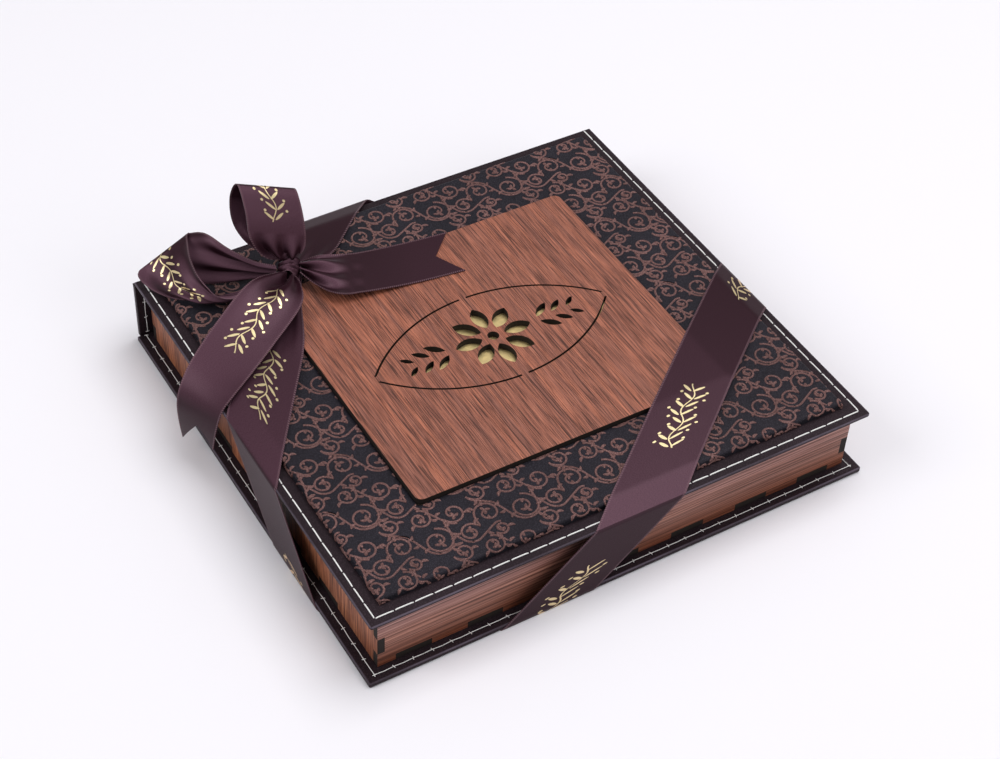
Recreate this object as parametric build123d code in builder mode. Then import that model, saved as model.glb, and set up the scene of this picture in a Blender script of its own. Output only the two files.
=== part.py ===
from build123d import *
import os
from math import atan2, cos, degrees, radians

os.makedirs("parts", exist_ok=True)

# A confectionery gift box: a book-style leather cover, a wooden tray with finger joints glued on
# its lower board, a padded embossed panel and a pierced wooden plate on the lid, and a satin
# ribbon tied round two pairs of corners. Millimetres. The frame's origin is under the middle of
# the box, on the surface it stands on: +X runs along the opening edge, -Y is the opening side,
# +Y the spine, +Z up.

# ---- cover ----
box_width = 220.0
box_depth = 206.0
leather = 0.5
board = 1.2
lid_corner = 1.6
base_corner = 0.7
turn_in = 12.0

# ---- tray ----
tray_height = 27.5
wall = 3.0
side_margin = 5.0
front_margin = 4.5
spine_gap = 2.8
tab_width = 15.0
tab_pitch = 30.0
finger_height = 8.2
finger_level = 7.0
floor_thickness = 3.0
tray_liner_thickness = 0.3
liner_margin = 1.0
lid_rest_gap = 0.1

# ---- padded panel ----
panel_margin = 8.0
panel_height = 3.0
panel_round = 1.2
panel_corner = 1.8
panel_skin = 0.6
plate_sink = 1.0

# ---- pierced plate ----
plate_width = 138.0
plate_depth = 126.0
plate_thickness = 3.0
plate_corner = 3.0
foil_thickness = 0.2
petal_count = 8
petal_reach = 17.0
petal_root = 5.0
petal_width = 6.4
hub_radius = 2.4
frame_reach = 54.0
frame_rise = 25.0
frame_cut = 0.9
frame_bridge = 3.0
sprig_pairs = 3
leaf_length = 9.0
leaf_width = 3.2
leaf_lean = 38.0
sprig_start = 21.0
sprig_step = 7.0
sprig_gap = 1.4

# ---- ribbon: where its middle crosses the box's edges ----
ribbon = 0.3
ribbon_width = 25.0
front_top_x = 2.8
front_bottom_x = -36.2
right_top_y = -18.1
right_bottom_y = 7.4
back_bottom_x = 20.0
back_top_x = -20.0
left_top_y = -8.0
left_bottom_y = -46.0
ramp_inset = 1.0
ribbon_clearance = 0.3

# ---- knot and bow ----
knot_from_left = 55.0
knot_from_back = 33.5
knot_length = 9.6
knot_belly = 3.2
knot_radius = 4.1
knot_end_radius = 2.4
gather_width = 11.0
gather_start = 0.55
notch_depth = 9.0
steps_per_span = 2

# ---- levels and lines that follow from them ----
cover = board + 2 * leather
base_z = ribbon
base_top = base_z + cover
tray_top = base_top + tray_height
lid_z = tray_top + lid_rest_gap
lid_top = lid_z + cover
front_y = -box_depth / 2
back_y = box_depth / 2
fold_y = back_y - cover
half_width = box_width / 2
cover_depth = fold_y - front_y
cover_y = (front_y + fold_y) / 2
spine_height = lid_z - base_top

tray_width = box_width - 2 * side_margin
tray_front = front_y + front_margin
tray_back = fold_y - spine_gap
tray_depth = tray_back - tray_front
tray_y = (tray_front + tray_back) / 2

panel_width = box_width - 2 * panel_margin
panel_depth = box_depth - 2 * panel_margin
panel_top = lid_top + panel_height
seat_z = panel_top - plate_sink
plate_z = seat_z + foil_thickness
plate_top = plate_z + plate_thickness


def place(centre_y, z):
    """A level sketch plane over the box's centre line, at a depth and a height."""
    return Plane.XY.offset(z).shift_origin(Vector(0, centre_y, z))


# =====================================================================
# lower cover board, fixed under the tray
# =====================================================================
with BuildPart() as base_outer_leather:
    with BuildSketch(place(cover_y, base_z)) as outline:
        Rectangle(box_width, cover_depth)
        fillet(outline.vertices().group_by(Axis.Y)[0], base_corner)
    extrude(amount=cover)
    with BuildSketch(place(cover_y + leather / 2, base_z + leather)) as pocket:
        Rectangle(box_width - 2 * leather, cover_depth - leather)
        fillet(pocket.vertices().group_by(Axis.Y)[0], base_corner - leather)
    extrude(amount=board, mode=Mode.SUBTRACT)
    with BuildSketch(place(cover_y + turn_in / 2, base_z + leather + board)):
        Rectangle(box_width - 2 * turn_in, cover_depth - turn_in)
    extrude(amount=leather, mode=Mode.SUBTRACT)
base_outer_leather.part.label = "base_outer_leather"
export_step(base_outer_leather.part, "parts/base_outer_leather.step")

with BuildPart() as base_board:
    with BuildSketch(place(cover_y + leather / 2, base_z + leather)) as outline:
        Rectangle(box_width - 2 * leather, cover_depth - leather)
        fillet(outline.vertices().group_by(Axis.Y)[0], base_corner - leather)
    extrude(amount=board)
base_board.part.label = "base_board"
export_step(base_board.part, "parts/base_board.step")

with BuildPart() as base_lining:
    with BuildSketch(place(cover_y + turn_in / 2, base_z + leather + board)):
        Rectangle(box_width - 2 * turn_in, cover_depth - turn_in)
    extrude(amount=leather)
base_lining.part.label = "base_lining"
export_step(base_lining.part, "parts/base_lining.step")

# =====================================================================
# lid: the same wrapped board, turned over
# =====================================================================
with BuildPart() as lid_outer_leather:
    with BuildSketch(place(cover_y, lid_z)) as outline:
        Rectangle(box_width, cover_depth)
        fillet(outline.vertices().group_by(Axis.Y)[0], lid_corner)
    extrude(amount=cover)
    with BuildSketch(place(cover_y + leather / 2, lid_z + leather)) as pocket:
        Rectangle(box_width - 2 * leather, cover_depth - leather)
        fillet(pocket.vertices().group_by(Axis.Y)[0], lid_corner - leather)
    extrude(amount=board, mode=Mode.SUBTRACT)
    with BuildSketch(place(cover_y + turn_in / 2, lid_z)):
        Rectangle(box_width - 2 * turn_in, cover_depth - turn_in)
    extrude(amount=leather, mode=Mode.SUBTRACT)
lid_outer_leather.part.label = "lid_outer_leather"
export_step(lid_outer_leather.part, "parts/lid_outer_leather.step")

with BuildPart() as lid_board:
    with BuildSketch(place(cover_y + leather / 2, lid_z + leather)) as outline:
        Rectangle(box_width - 2 * leather, cover_depth - leather)
        fillet(outline.vertices().group_by(Axis.Y)[0], lid_corner - leather)
    extrude(amount=board)
lid_board.part.label = "lid_board"
export_step(lid_board.part, "parts/lid_board.step")

with BuildPart() as lid_lining:
    with BuildSketch(place(cover_y + turn_in / 2, lid_z)):
        Rectangle(box_width - 2 * turn_in, cover_depth - turn_in)
    extrude(amount=leather)
lid_lining.part.label = "lid_lining"
export_step(lid_lining.part, "parts/lid_lining.step")

# =====================================================================
# spine: a narrow wrapped board that stands behind the tray
# =====================================================================
spine_z = (base_top + lid_z) / 2
spine_plane = Plane(origin=(0, back_y, spine_z), x_dir=(1, 0, 0), z_dir=(0, -1, 0))

with BuildPart() as spine_outer_leather:
    with BuildSketch(spine_plane):
        Rectangle(box_width, spine_height)
    extrude(amount=cover)
    with BuildSketch(spine_plane.offset(leather)):
        Rectangle(box_width - 2 * leather, spine_height)
    extrude(amount=board, mode=Mode.SUBTRACT)
    with BuildSketch(spine_plane.offset(leather + board)):
        Rectangle(box_width - 2 * turn_in, spine_height)
    extrude(amount=leather, mode=Mode.SUBTRACT)
spine_outer_leather.part.label = "spine_outer_leather"
export_step(spine_outer_leather.part, "parts/spine_outer_leather.step")

with BuildPart() as spine_board:
    with BuildSketch(spine_plane.offset(leather)):
        Rectangle(box_width - 2 * leather, spine_height)
    extrude(amount=board)
spine_board.part.label = "spine_board"
export_step(spine_board.part, "parts/spine_board.step")

with BuildPart() as spine_lining:
    with BuildSketch(spine_plane.offset(leather + board)):
        Rectangle(box_width - 2 * turn_in, spine_height)
    extrude(amount=leather)
spine_lining.part.label = "spine_lining"
export_step(spine_lining.part, "parts/spine_lining.step")

# =====================================================================
# the two leather folds that act as hinges: a quarter bend of bare leather
# =====================================================================
side_plane = Plane(origin=(-half_width, 0, 0), x_dir=(0, 1, 0), z_dir=(1, 0, 0))

with BuildPart() as lid_hinge_fold:
    with BuildSketch(side_plane):
        with BuildLine():
            CenterArc((fold_y, lid_z), cover, 0, 90)
            Line((fold_y, lid_z + cover), (fold_y, lid_z + cover - leather))
            CenterArc((fold_y, lid_z), cover - leather, 0, 90)
            Line((fold_y + cover, lid_z), (fold_y + cover - leather, lid_z))
        make_face()
    extrude(amount=box_width)
lid_hinge_fold.part.label = "lid_hinge_fold"
export_step(lid_hinge_fold.part, "parts/lid_hinge_fold.step")

with BuildPart() as base_hinge_fold:
    with BuildSketch(side_plane):
        with BuildLine():
            CenterArc((fold_y, base_top), cover, 270, 90)
            Line((fold_y, base_top - cover), (fold_y, base_top - cover + leather))
            CenterArc((fold_y, base_top), cover - leather, 270, 90)
            Line((fold_y + cover, base_top), (fold_y + cover - leather, base_top))
        make_face()
    extrude(amount=box_width)
base_hinge_fold.part.label = "base_hinge_fold"
export_step(base_hinge_fold.part, "parts/base_hinge_fold.step")

# =====================================================================
# wooden tray: four walls joined by one finger at each corner, and a floor tabbed into them
# =====================================================================
front_tabs = int((tray_width / 2 - tab_pitch / 2) // tab_pitch) * 2 + 1
side_tabs = int((tray_depth / 2 - tab_pitch / 2) // tab_pitch) * 2 + 1
middle_z = base_top + tray_height / 2
finger_z = base_top + finger_level + finger_height / 2
tab_z = base_top + floor_thickness / 2

with BuildPart() as tray_front_wall:
    with BuildSketch(Plane(origin=(0, tray_front + wall, 0), x_dir=(1, 0, 0), z_dir=(0, -1, 0))):
        with Locations((0, middle_z)):
            Rectangle(tray_width, tray_height)
        with Locations((-(tray_width - wall) / 2, finger_z), ((tray_width - wall) / 2, finger_z)):
            Rectangle(wall, finger_height, mode=Mode.SUBTRACT)
        with Locations((0, tab_z)):
            with GridLocations(tab_pitch, 0, front_tabs, 1):
                Rectangle(tab_width, floor_thickness, mode=Mode.SUBTRACT)
    extrude(amount=wall)
tray_front_wall.part.label = "tray_front_wall"
export_step(tray_front_wall.part, "parts/tray_front_wall.step")

with BuildPart() as tray_back_wall:
    with BuildSketch(Plane(origin=(0, tray_back, 0), x_dir=(1, 0, 0), z_dir=(0, -1, 0))):
        with Locations((0, middle_z)):
            Rectangle(tray_width, tray_height)
        with Locations((-(tray_width - wall) / 2, finger_z), ((tray_width - wall) / 2, finger_z)):
            Rectangle(wall, finger_height, mode=Mode.SUBTRACT)
        with Locations((0, tab_z)):
            with GridLocations(tab_pitch, 0, front_tabs, 1):
                Rectangle(tab_width, floor_thickness, mode=Mode.SUBTRACT)
    extrude(amount=wall)
tray_back_wall.part.label = "tray_back_wall"
export_step(tray_back_wall.part, "parts/tray_back_wall.step")

with BuildPart() as tray_left_wall:
    with BuildSketch(Plane(origin=(-tray_width / 2, tray_y, 0), x_dir=(0, 1, 0), z_dir=(1, 0, 0))):
        with Locations((0, middle_z)):
            Rectangle(tray_depth - 2 * wall, tray_height)
        with Locations((0, finger_z)):
            Rectangle(tray_depth, finger_height)
        with Locations((0, tab_z)):
            with GridLocations(tab_pitch, 0, side_tabs, 1):
                Rectangle(tab_width, floor_thickness, mode=Mode.SUBTRACT)
    extrude(amount=wall)
tray_left_wall.part.label = "tray_left_wall"
export_step(tray_left_wall.part, "parts/tray_left_wall.step")

with BuildPart() as tray_right_wall:
    with BuildSketch(Plane(origin=(tray_width / 2 - wall, tray_y, 0), x_dir=(0, 1, 0), z_dir=(1, 0, 0))):
        with Locations((0, middle_z)):
            Rectangle(tray_depth - 2 * wall, tray_height)
        with Locations((0, finger_z)):
            Rectangle(tray_depth, finger_height)
        with Locations((0, tab_z)):
            with GridLocations(tab_pitch, 0, side_tabs, 1):
                Rectangle(tab_width, floor_thickness, mode=Mode.SUBTRACT)
    extrude(amount=wall)
tray_right_wall.part.label = "tray_right_wall"
export_step(tray_right_wall.part, "parts/tray_right_wall.step")

with BuildPart() as tray_floor:
    with BuildSketch(place(tray_y, base_top)):
        Rectangle(tray_width - 2 * wall, tray_depth - 2 * wall)
        with Locations((0, (tray_depth - wall) / 2), (0, -(tray_depth - wall) / 2)):
            with GridLocations(tab_pitch, 0, front_tabs, 1):
                Rectangle(tab_width, wall)
        with Locations(((tray_width - wall) / 2, 0), (-(tray_width - wall) / 2, 0)):
            with GridLocations(0, tab_pitch, 1, side_tabs):
                Rectangle(wall, tab_width)
    extrude(amount=floor_thickness)
tray_floor.part.label = "tray_floor"
export_step(tray_floor.part, "parts/tray_floor.step")

with BuildPart() as tray_liner:
    with BuildSketch(place(tray_y, base_top + floor_thickness)):
        Rectangle(tray_width - 2 * wall - 2 * liner_margin, tray_depth - 2 * wall - 2 * liner_margin)
    extrude(amount=tray_liner_thickness)
tray_liner.part.label = "tray_liner"
export_step(tray_liner.part, "parts/tray_liner.step")

# =====================================================================
# padded panel on the lid, with a seat pressed in for the plate
# =====================================================================
with BuildPart() as panel_leather:
    with BuildSketch(Plane.XY.offset(lid_top)):
        RectangleRounded(panel_width, panel_depth, panel_corner)
    extrude(amount=panel_height)
    fillet(panel_leather.faces().sort_by(Axis.Z)[-1].edges(), panel_round)
    with BuildSketch(Plane.XY.offset(panel_top - plate_sink)):
        RectangleRounded(plate_width, plate_depth, plate_corner)
    extrude(amount=plate_sink, mode=Mode.SUBTRACT)
    with BuildSketch(Plane.XY.offset(lid_top)):
        RectangleRounded(panel_width - 2 * panel_skin, panel_depth - 2 * panel_skin, panel_corner - panel_skin)
    extrude(amount=panel_height - panel_round, mode=Mode.SUBTRACT)
    with BuildSketch(Plane.XY.offset(lid_top + panel_height - panel_round)):
        RectangleRounded(
            panel_width - 2 * panel_round, panel_depth - 2 * panel_round, panel_corner - panel_round
        )
    extrude(amount=panel_round - panel_skin, mode=Mode.SUBTRACT)
    with BuildSketch(Plane.XY.offset(seat_z - panel_skin)):
        RectangleRounded(plate_width + 2 * panel_skin, plate_depth + 2 * panel_skin, plate_corner + panel_skin)
    extrude(amount=panel_skin)
    with BuildSketch(Plane.XY.offset(seat_z)):
        RectangleRounded(plate_width + 2 * panel_skin, plate_depth + 2 * panel_skin, plate_corner + panel_skin)
        RectangleRounded(plate_width, plate_depth, plate_corner, mode=Mode.SUBTRACT)
    extrude(amount=plate_sink)
panel_leather.part.label = "panel_leather"
export_step(panel_leather.part, "parts/panel_leather.step")

with BuildPart() as panel_pad:
    with BuildSketch(Plane.XY.offset(lid_top)):
        RectangleRounded(panel_width - 2 * panel_skin, panel_depth - 2 * panel_skin, panel_corner - panel_skin)
    extrude(amount=panel_height - panel_round)
    with BuildSketch(Plane.XY.offset(lid_top + panel_height - panel_round)):
        RectangleRounded(
            panel_width - 2 * panel_round, panel_depth - 2 * panel_round, panel_corner - panel_round
        )
    extrude(amount=panel_round - panel_skin)
    with BuildSketch(Plane.XY.offset(seat_z - panel_skin)):
        RectangleRounded(plate_width + 2 * panel_skin, plate_depth + 2 * panel_skin, plate_corner + panel_skin)
    extrude(amount=plate_sink, mode=Mode.SUBTRACT)
panel_pad.part.label = "panel_pad"
export_step(panel_pad.part, "parts/panel_pad.step")

# =====================================================================
# gold foil card and the pierced plate over it
# =====================================================================
with BuildPart() as gold_foil:
    with BuildSketch(Plane.XY.offset(seat_z)):
        RectangleRounded(plate_width, plate_depth, plate_corner)
    extrude(amount=foil_thickness)
gold_foil.part.label = "gold_foil"
export_step(gold_foil.part, "parts/gold_foil.step")

# Two arcs make the pointed oval round the ornament: its radius follows from reach and rise.
oval_radius = (frame_reach**2 + frame_rise**2) / (2 * frame_rise)
oval_drop = oval_radius - frame_rise


def lens(length, width):
    """A pointed leaf or petal, lying along +X from the present location."""
    with BuildSketch(mode=Mode.PRIVATE) as shape:
        with BuildLine():
            ThreePointArc((0, 0), (length / 2, width / 2), (length, 0))
            ThreePointArc((length, 0), (length / 2, -width / 2), (0, 0))
        make_face()
    return shape.sketch


def oval(radius):
    """The pointed oval shared by two circles of one radius, on a private sketch."""
    with BuildSketch(mode=Mode.PRIVATE) as shape:
        with Locations((0, -oval_drop)):
            Circle(radius)
        with Locations((0, oval_drop)):
            Circle(radius, mode=Mode.INTERSECT)
    return shape.sketch


with BuildPart() as top_plate:
    with BuildSketch(Plane.XY.offset(plate_z)):
        RectangleRounded(plate_width, plate_depth, plate_corner)
    extrude(amount=plate_thickness)
    with BuildSketch(Plane.XY.offset(plate_z)):
        # the rosette: a hub and a ring of petals
        Circle(hub_radius)
        with PolarLocations(petal_root, petal_count):
            add(lens(petal_reach - petal_root, petal_width))
        # a sprig on each side: pairs of leaves that lean outwards and grow smaller
        for side in (0, 180):
            for pair in range(sprig_pairs):
                leaf_x = (sprig_start + pair * sprig_step) * cos(radians(side))
                share = 1 - pair / (2 * sprig_pairs)
                for turn in (1, -1):
                    leaf_angle = side + turn * leaf_lean * cos(radians(side))
                    with Locations(Location((leaf_x, turn * sprig_gap, 0), (0, 0, leaf_angle))):
                        add(lens(leaf_length * share, leaf_width * share))
    extrude(amount=plate_thickness, mode=Mode.SUBTRACT)
    with BuildSketch(Plane.XY.offset(plate_z)):
        # the oval line, cut in four stretches with a bridge at each end and at each side
        add(oval(oval_radius))
        add(oval(oval_radius - frame_cut), mode=Mode.SUBTRACT)
        Rectangle(frame_bridge, 2 * frame_rise + frame_cut, mode=Mode.SUBTRACT)
        Rectangle(2 * frame_reach + frame_cut, frame_bridge, mode=Mode.SUBTRACT)
    extrude(amount=plate_thickness, mode=Mode.SUBTRACT)
top_plate.part.label = "top_plate"
export_step(top_plate.part, "parts/top_plate.step")

# =====================================================================
# ribbon band: one closed loop round two pairs of corners, tight over the panel and the plate
# =====================================================================
band_width = box_width + 2 * ribbon
band_depth = box_depth + 2 * ribbon
wrap_top = lid_top + ribbon
roof_top = plate_top + ribbon_clearance
knot_x = knot_from_left - half_width
knot_y = back_y - knot_from_back


def roof_outline(half_span, half_panel, half_plate, lift):
    """The line that a tight ribbon takes over the lid from edge to edge, as a private sketch."""
    with BuildSketch(mode=Mode.PRIVATE) as outline:
        with BuildLine():
            Polyline(
                (0, 0),
                (half_span + ribbon, 0),
                (half_span + ribbon, lid_top + lift),
                (half_span, lid_top + lift),
                (half_panel - ramp_inset, panel_top + ribbon_clearance + lift),
                (half_plate, roof_top + lift),
                (0, roof_top + lift),
                close=True,
            )
        make_face()
        mirror(about=Plane.YZ)
    return outline.sketch


def roof(lift):
    """The space under a tight ribbon over the whole lid, or with the ribbon's thickness added."""
    with BuildPart(mode=Mode.PRIVATE) as space:
        with BuildSketch(Plane.XZ):
            add(roof_outline(box_width / 2, panel_width / 2, plate_width / 2, lift))
        extrude(amount=band_depth / 2, both=True)
        with BuildSketch(Plane.YZ):
            add(roof_outline(box_depth / 2, panel_depth / 2, plate_depth / 2, lift))
        extrude(amount=band_width / 2, both=True, mode=Mode.INTERSECT)
    return space.part


def stretch(start, end):
    """A straight stretch of ribbon between two edges of a face, as a private sketch."""
    run = Vector(*end) - Vector(*start)
    middle = (Vector(*end) + Vector(*start)) / 2
    with BuildSketch(mode=Mode.PRIVATE) as strip:
        with Locations(Location(middle, (0, 0, degrees(atan2(run.Y, run.X))))):
            Rectangle(run.length + 2 * ribbon_width, ribbon_width)
    return strip.sketch


def gathered(start, end):
    """A stretch of ribbon that narrows from an edge towards the knot, as a private sketch."""
    run = Vector(*end) - Vector(*start)
    edge = ribbon_width / 2
    with BuildSketch(mode=Mode.PRIVATE) as strip:
        with Locations(Location(Vector(*start), (0, 0, degrees(atan2(run.Y, run.X))))):
            Polygon(
                (-ribbon_width, -edge),
                (gather_start * run.length, -edge),
                (run.length, -gather_width / 2),
                (run.length, gather_width / 2),
                (gather_start * run.length, edge),
                (-ribbon_width, edge),
                align=None,
            )
    return strip.sketch


under_roof = roof(0)
over_roof = roof(ribbon)
left_face = Plane(origin=(-half_width, 0, 0), x_dir=(0, -1, 0), z_dir=(-1, 0, 0))
right_face = Plane(origin=(half_width, 0, 0), x_dir=(0, 1, 0), z_dir=(1, 0, 0))
front_face = Plane(origin=(0, front_y, 0), x_dir=(1, 0, 0), z_dir=(0, -1, 0))
back_face = Plane(origin=(0, back_y, 0), x_dir=(-1, 0, 0), z_dir=(0, 1, 0))

with BuildPart() as ribbon_band:
    # over the lid
    with BuildSketch():
        add(stretch((front_top_x, front_y), (half_width, right_top_y)))
        add(gathered((-half_width, left_top_y), (knot_x, knot_y)))
        add(gathered((back_top_x, back_y), (knot_x, knot_y)))
        Rectangle(band_width, band_depth, mode=Mode.INTERSECT)
    extrude(amount=roof_top + 2 * ribbon)
    add(over_roof, mode=Mode.INTERSECT)
    add(under_roof, mode=Mode.SUBTRACT)
    # under the base, round the other two corners
    with BuildSketch():
        add(stretch((-half_width, left_bottom_y), (front_bottom_x, front_y)))
        add(stretch((half_width, right_bottom_y), (back_bottom_x, back_y)))
        Rectangle(band_width, band_depth, mode=Mode.INTERSECT)
    extrude(amount=ribbon)
    # down the four faces
    with BuildSketch(front_face):
        add(stretch((front_top_x, wrap_top), (front_bottom_x, 0)))
        with Locations((0, wrap_top / 2)):
            Rectangle(band_width, wrap_top, mode=Mode.INTERSECT)
    extrude(amount=ribbon)
    with BuildSketch(back_face):
        add(stretch((-back_top_x, wrap_top), (-back_bottom_x, 0)))
        with Locations((0, wrap_top / 2)):
            Rectangle(band_width, wrap_top, mode=Mode.INTERSECT)
    extrude(amount=ribbon)
    with BuildSketch(right_face):
        add(stretch((right_top_y, wrap_top), (right_bottom_y, 0)))
        with Locations((0, wrap_top / 2)):
            Rectangle(band_depth, wrap_top, mode=Mode.INTERSECT)
    extrude(amount=ribbon)
    with BuildSketch(left_face):
        add(stretch((-left_top_y, wrap_top), (-left_bottom_y, 0)))
        with Locations((0, wrap_top / 2)):
            Rectangle(band_depth, wrap_top, mode=Mode.INTERSECT)
    extrude(amount=ribbon)
ribbon_band.part.label = "ribbon_band"
export_step(ribbon_band.part, "parts/ribbon_band.step")

# =====================================================================
# knot: a small barrel of wound ribbon, its ends tapered
# =====================================================================
knot_z = roof_top + ribbon + ribbon_clearance / 2 + knot_radius

knot_axis = Vector(0.5, 0.85, 0.15)
knot_plane = Plane(origin=(knot_x, knot_y, knot_z), z_dir=knot_axis)

with BuildPart() as ribbon_knot:
    for side in (-1, 1):
        with BuildSketch(knot_plane.offset(side * knot_belly / 2)):
            Circle(knot_radius)
        with BuildSketch(knot_plane.offset(side * knot_length / 2)):
            Circle(knot_end_radius)
        loft(ruled=True)
    with BuildSketch(knot_plane):
        Circle(knot_radius)
    extrude(amount=knot_belly / 2, both=True)
ribbon_knot.part.label = "ribbon_knot"
export_step(ribbon_knot.part, "parts/ribbon_knot.step")

# =====================================================================
# bow: two loops and two tails. Each follows a route chosen by hand: a point from the knot's
# middle, the direction across the ribbon there, and the share of its width that lies open.
# =====================================================================
upright_route = [
    ((0.6, 1.6, 4.6), (0.90, -0.43, -0.05), 0.20),
    ((-2.3, 1.4, 6.4), (0.92, -0.34, -0.16), 0.62),
    ((-3.5, 2.2, 14.0), (0.93, -0.18, -0.32), 0.97),
    ((-3.1, 5.4, 25.4), (0.93, -0.16, -0.33), 1.0),
    ((-3.4, 11.2, 35.0), (0.93, -0.16, -0.33), 1.0),
    ((-4.4, 16.8, 25.2), (0.93, -0.16, -0.33), 1.0),
    ((-4.6, 15.2, 13.4), (0.93, -0.18, -0.32), 1.0),
    ((-3.6, 10.6, 6.0), (0.93, -0.26, -0.24), 0.74),
    ((-0.8, 5.2, 3.8), (0.92, -0.38, 0.10), 0.22),
]
left_route = [
    ((-5.2, 1.7, -0.6), (0.00, 0.10, -1.00), 0.18),
    ((-13.0, 5.5, 0.0), (0.00, 0.10, -0.99), 0.36),
    ((-22.0, 11.0, 1.4), (-0.20, -0.14, -0.97), 0.60),
    ((-30.0, 17.6, 2.4), (-0.50, -0.20, -0.84), 0.84),
    ((-37.0, 24.4, 2.7), (-0.81, -0.14, -0.57), 0.97),
    ((-41.0, 28.6, 2.7), (-0.91, -0.06, -0.40), 1.0),
    ((-42.3, 28.8, 3.0), (-0.91, -0.04, -0.42), 1.0),
    ((-43.6, 26.4, 2.2), (-0.87, 0.08, -0.49), 1.0),
    ((-44.4, 20.4, 0.7), (-0.70, 0.34, -0.63), 0.97),
    ((-43.8, 13.4, -0.9), (-0.58, 0.53, -0.62), 0.92),
    ((-41.4, 6.4, -1.6), (-0.62, 0.56, -0.54), 0.72),
    ((-36.2, 0.2, -2.5), (-0.58, 0.66, -0.46), 0.50),
    ((-25.0, -3.8, -2.2), (-0.10, 0.80, -0.58), 0.32),
    ((-6.5, -2.9, -1.2), (0.10, 0.60, -0.80), 0.18),
]
right_tail_route = [
    ((3.7, -2.7, 0.5), (-0.30, -0.80, -0.52), 0.20),
    ((8.0, -7.5, 0.8), (-0.40, -0.82, -0.38), 0.55),
    ((15.2, -13.0, 0.0), (-0.43, -0.90, -0.04), 0.95),
    ((25.7, -14.5, -2.0), (-0.38, -0.92, 0.02), 1.0),
    ((45.2, -16.3, -4.1), (-0.27, -0.96, 0.00), 1.0),
    ((66.9, -18.8, -4.4), (-0.19, -0.98, 0.00), 1.0),
]
left_tail_route = [
    ((-2.6, -6.4, 2.2), (0.30, -0.95, 0.00), 0.22),
    ((-5.6, -10.5, 4.0), (0.43, -0.89, -0.10), 0.52),
    ((-14.8, -17.1, 5.0), (0.62, -0.76, -0.20), 0.92),
    ((-32.8, -27.4, 0.6), (0.58, -0.81, -0.10), 1.0),
    ((-47.6, -36.0, -3.9), (0.58, -0.81, 0.02), 1.0),
    ((-55.6, -40.6, -8.0), (0.54, -0.81, 0.20), 1.0),
    ((-60.2, -42.6, -13.4), (0.40, -0.84, 0.34), 1.0),
    ((-62.3, -43.8, -21.7), (0.26, -0.88, 0.40), 1.0),
    ((-63.2, -45.0, -30.4), (0.14, -0.88, 0.45), 1.0),
]


def between(before, start, end, after, part_way):
    """A value on the smooth curve through four neighbours, from start at 0 to end at 1."""
    bend = 2 * before - 5 * start + 4 * end - after
    twist = 3 * start - before - 3 * end + after
    return start + ((end - before) * part_way + bend * part_way**2 + twist * part_way**3) / 2


def smooth(route):
    """More stations on a smooth curve through the chosen ones, each as seven numbers."""
    rows = [(*middle, *across, share) for middle, across, share in route]
    rows = [rows[0], *rows, rows[-1]]
    stations = []
    for span in range(len(route) - 1):
        for step in range(steps_per_span):
            neighbours = zip(*rows[span : span + 4])
            stations.append([between(*values, step / steps_per_span) for values in neighbours])
    return [*stations, rows[-1]]


def crossing(stations, index):
    """The plane square to the ribbon's run at one station, with X across the ribbon."""
    before = Vector(*stations[max(index - 1, 0)][:3])
    after = Vector(*stations[min(index + 1, len(stations) - 1)][:3])
    across = Vector(*stations[index][3:6]).normalized()
    run = after - before
    square_run = run - across * run.dot(across)
    centre = Vector(knot_x, knot_y, knot_z) + Vector(*stations[index][:3])
    return Plane(origin=centre, x_dir=across, z_dir=square_run)


def spans(route):
    """Pairs of the ribbon's thin sections, one pair for each short span of a route."""
    stations = smooth(route)
    thin_sections = []
    for index, station in enumerate(stations):
        with BuildSketch(crossing(stations, index), mode=Mode.PRIVATE) as section:
            Rectangle(ribbon_width * station[-1], ribbon)
        thin_sections.append(section.sketch.face())
    return zip(thin_sections, thin_sections[1:])


def notch(route):
    """A private sketch of the V cut from a free end, on the ribbon's own face there."""
    stations = smooth(route)
    end = crossing(stations, len(stations) - 1)
    face = Plane(origin=end.origin, x_dir=end.x_dir, z_dir=end.y_dir)
    with BuildSketch(face, mode=Mode.PRIVATE) as cut:
        with BuildLine():
            Polyline((-ribbon_width / 2, 0), (0, notch_depth), (ribbon_width / 2, 0), close=True)
        make_face()
    return cut.sketch.faces()


with BuildPart() as bow_loop_upright:
    for near_end, far_end in spans(upright_route):
        loft([near_end, far_end], ruled=True)
bow_loop_upright.part.label = "bow_loop_upright"
export_step(bow_loop_upright.part, "parts/bow_loop_upright.step")

with BuildPart() as bow_loop_left:
    for near_end, far_end in spans(left_route):
        loft([near_end, far_end], ruled=True)
bow_loop_left.part.label = "bow_loop_left"
export_step(bow_loop_left.part, "parts/bow_loop_left.step")

with BuildPart() as ribbon_tail_right:
    for near_end, far_end in spans(right_tail_route):
        loft([near_end, far_end], ruled=True)
    extrude(notch(right_tail_route), amount=2 * ribbon, both=True, mode=Mode.SUBTRACT)
ribbon_tail_right.part.label = "ribbon_tail_right"
export_step(ribbon_tail_right.part, "parts/ribbon_tail_right.step")

with BuildPart() as ribbon_tail_left:
    for near_end, far_end in spans(left_tail_route):
        loft([near_end, far_end], ruled=True)
    extrude(notch(left_tail_route), amount=2 * ribbon, both=True, mode=Mode.SUBTRACT)
ribbon_tail_left.part.label = "ribbon_tail_left"
export_step(ribbon_tail_left.part, "parts/ribbon_tail_left.step")
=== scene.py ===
import math
import random
from bisect import bisect_right

import bmesh
import bpy
from mathutils import Matrix, Vector, noise


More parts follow.
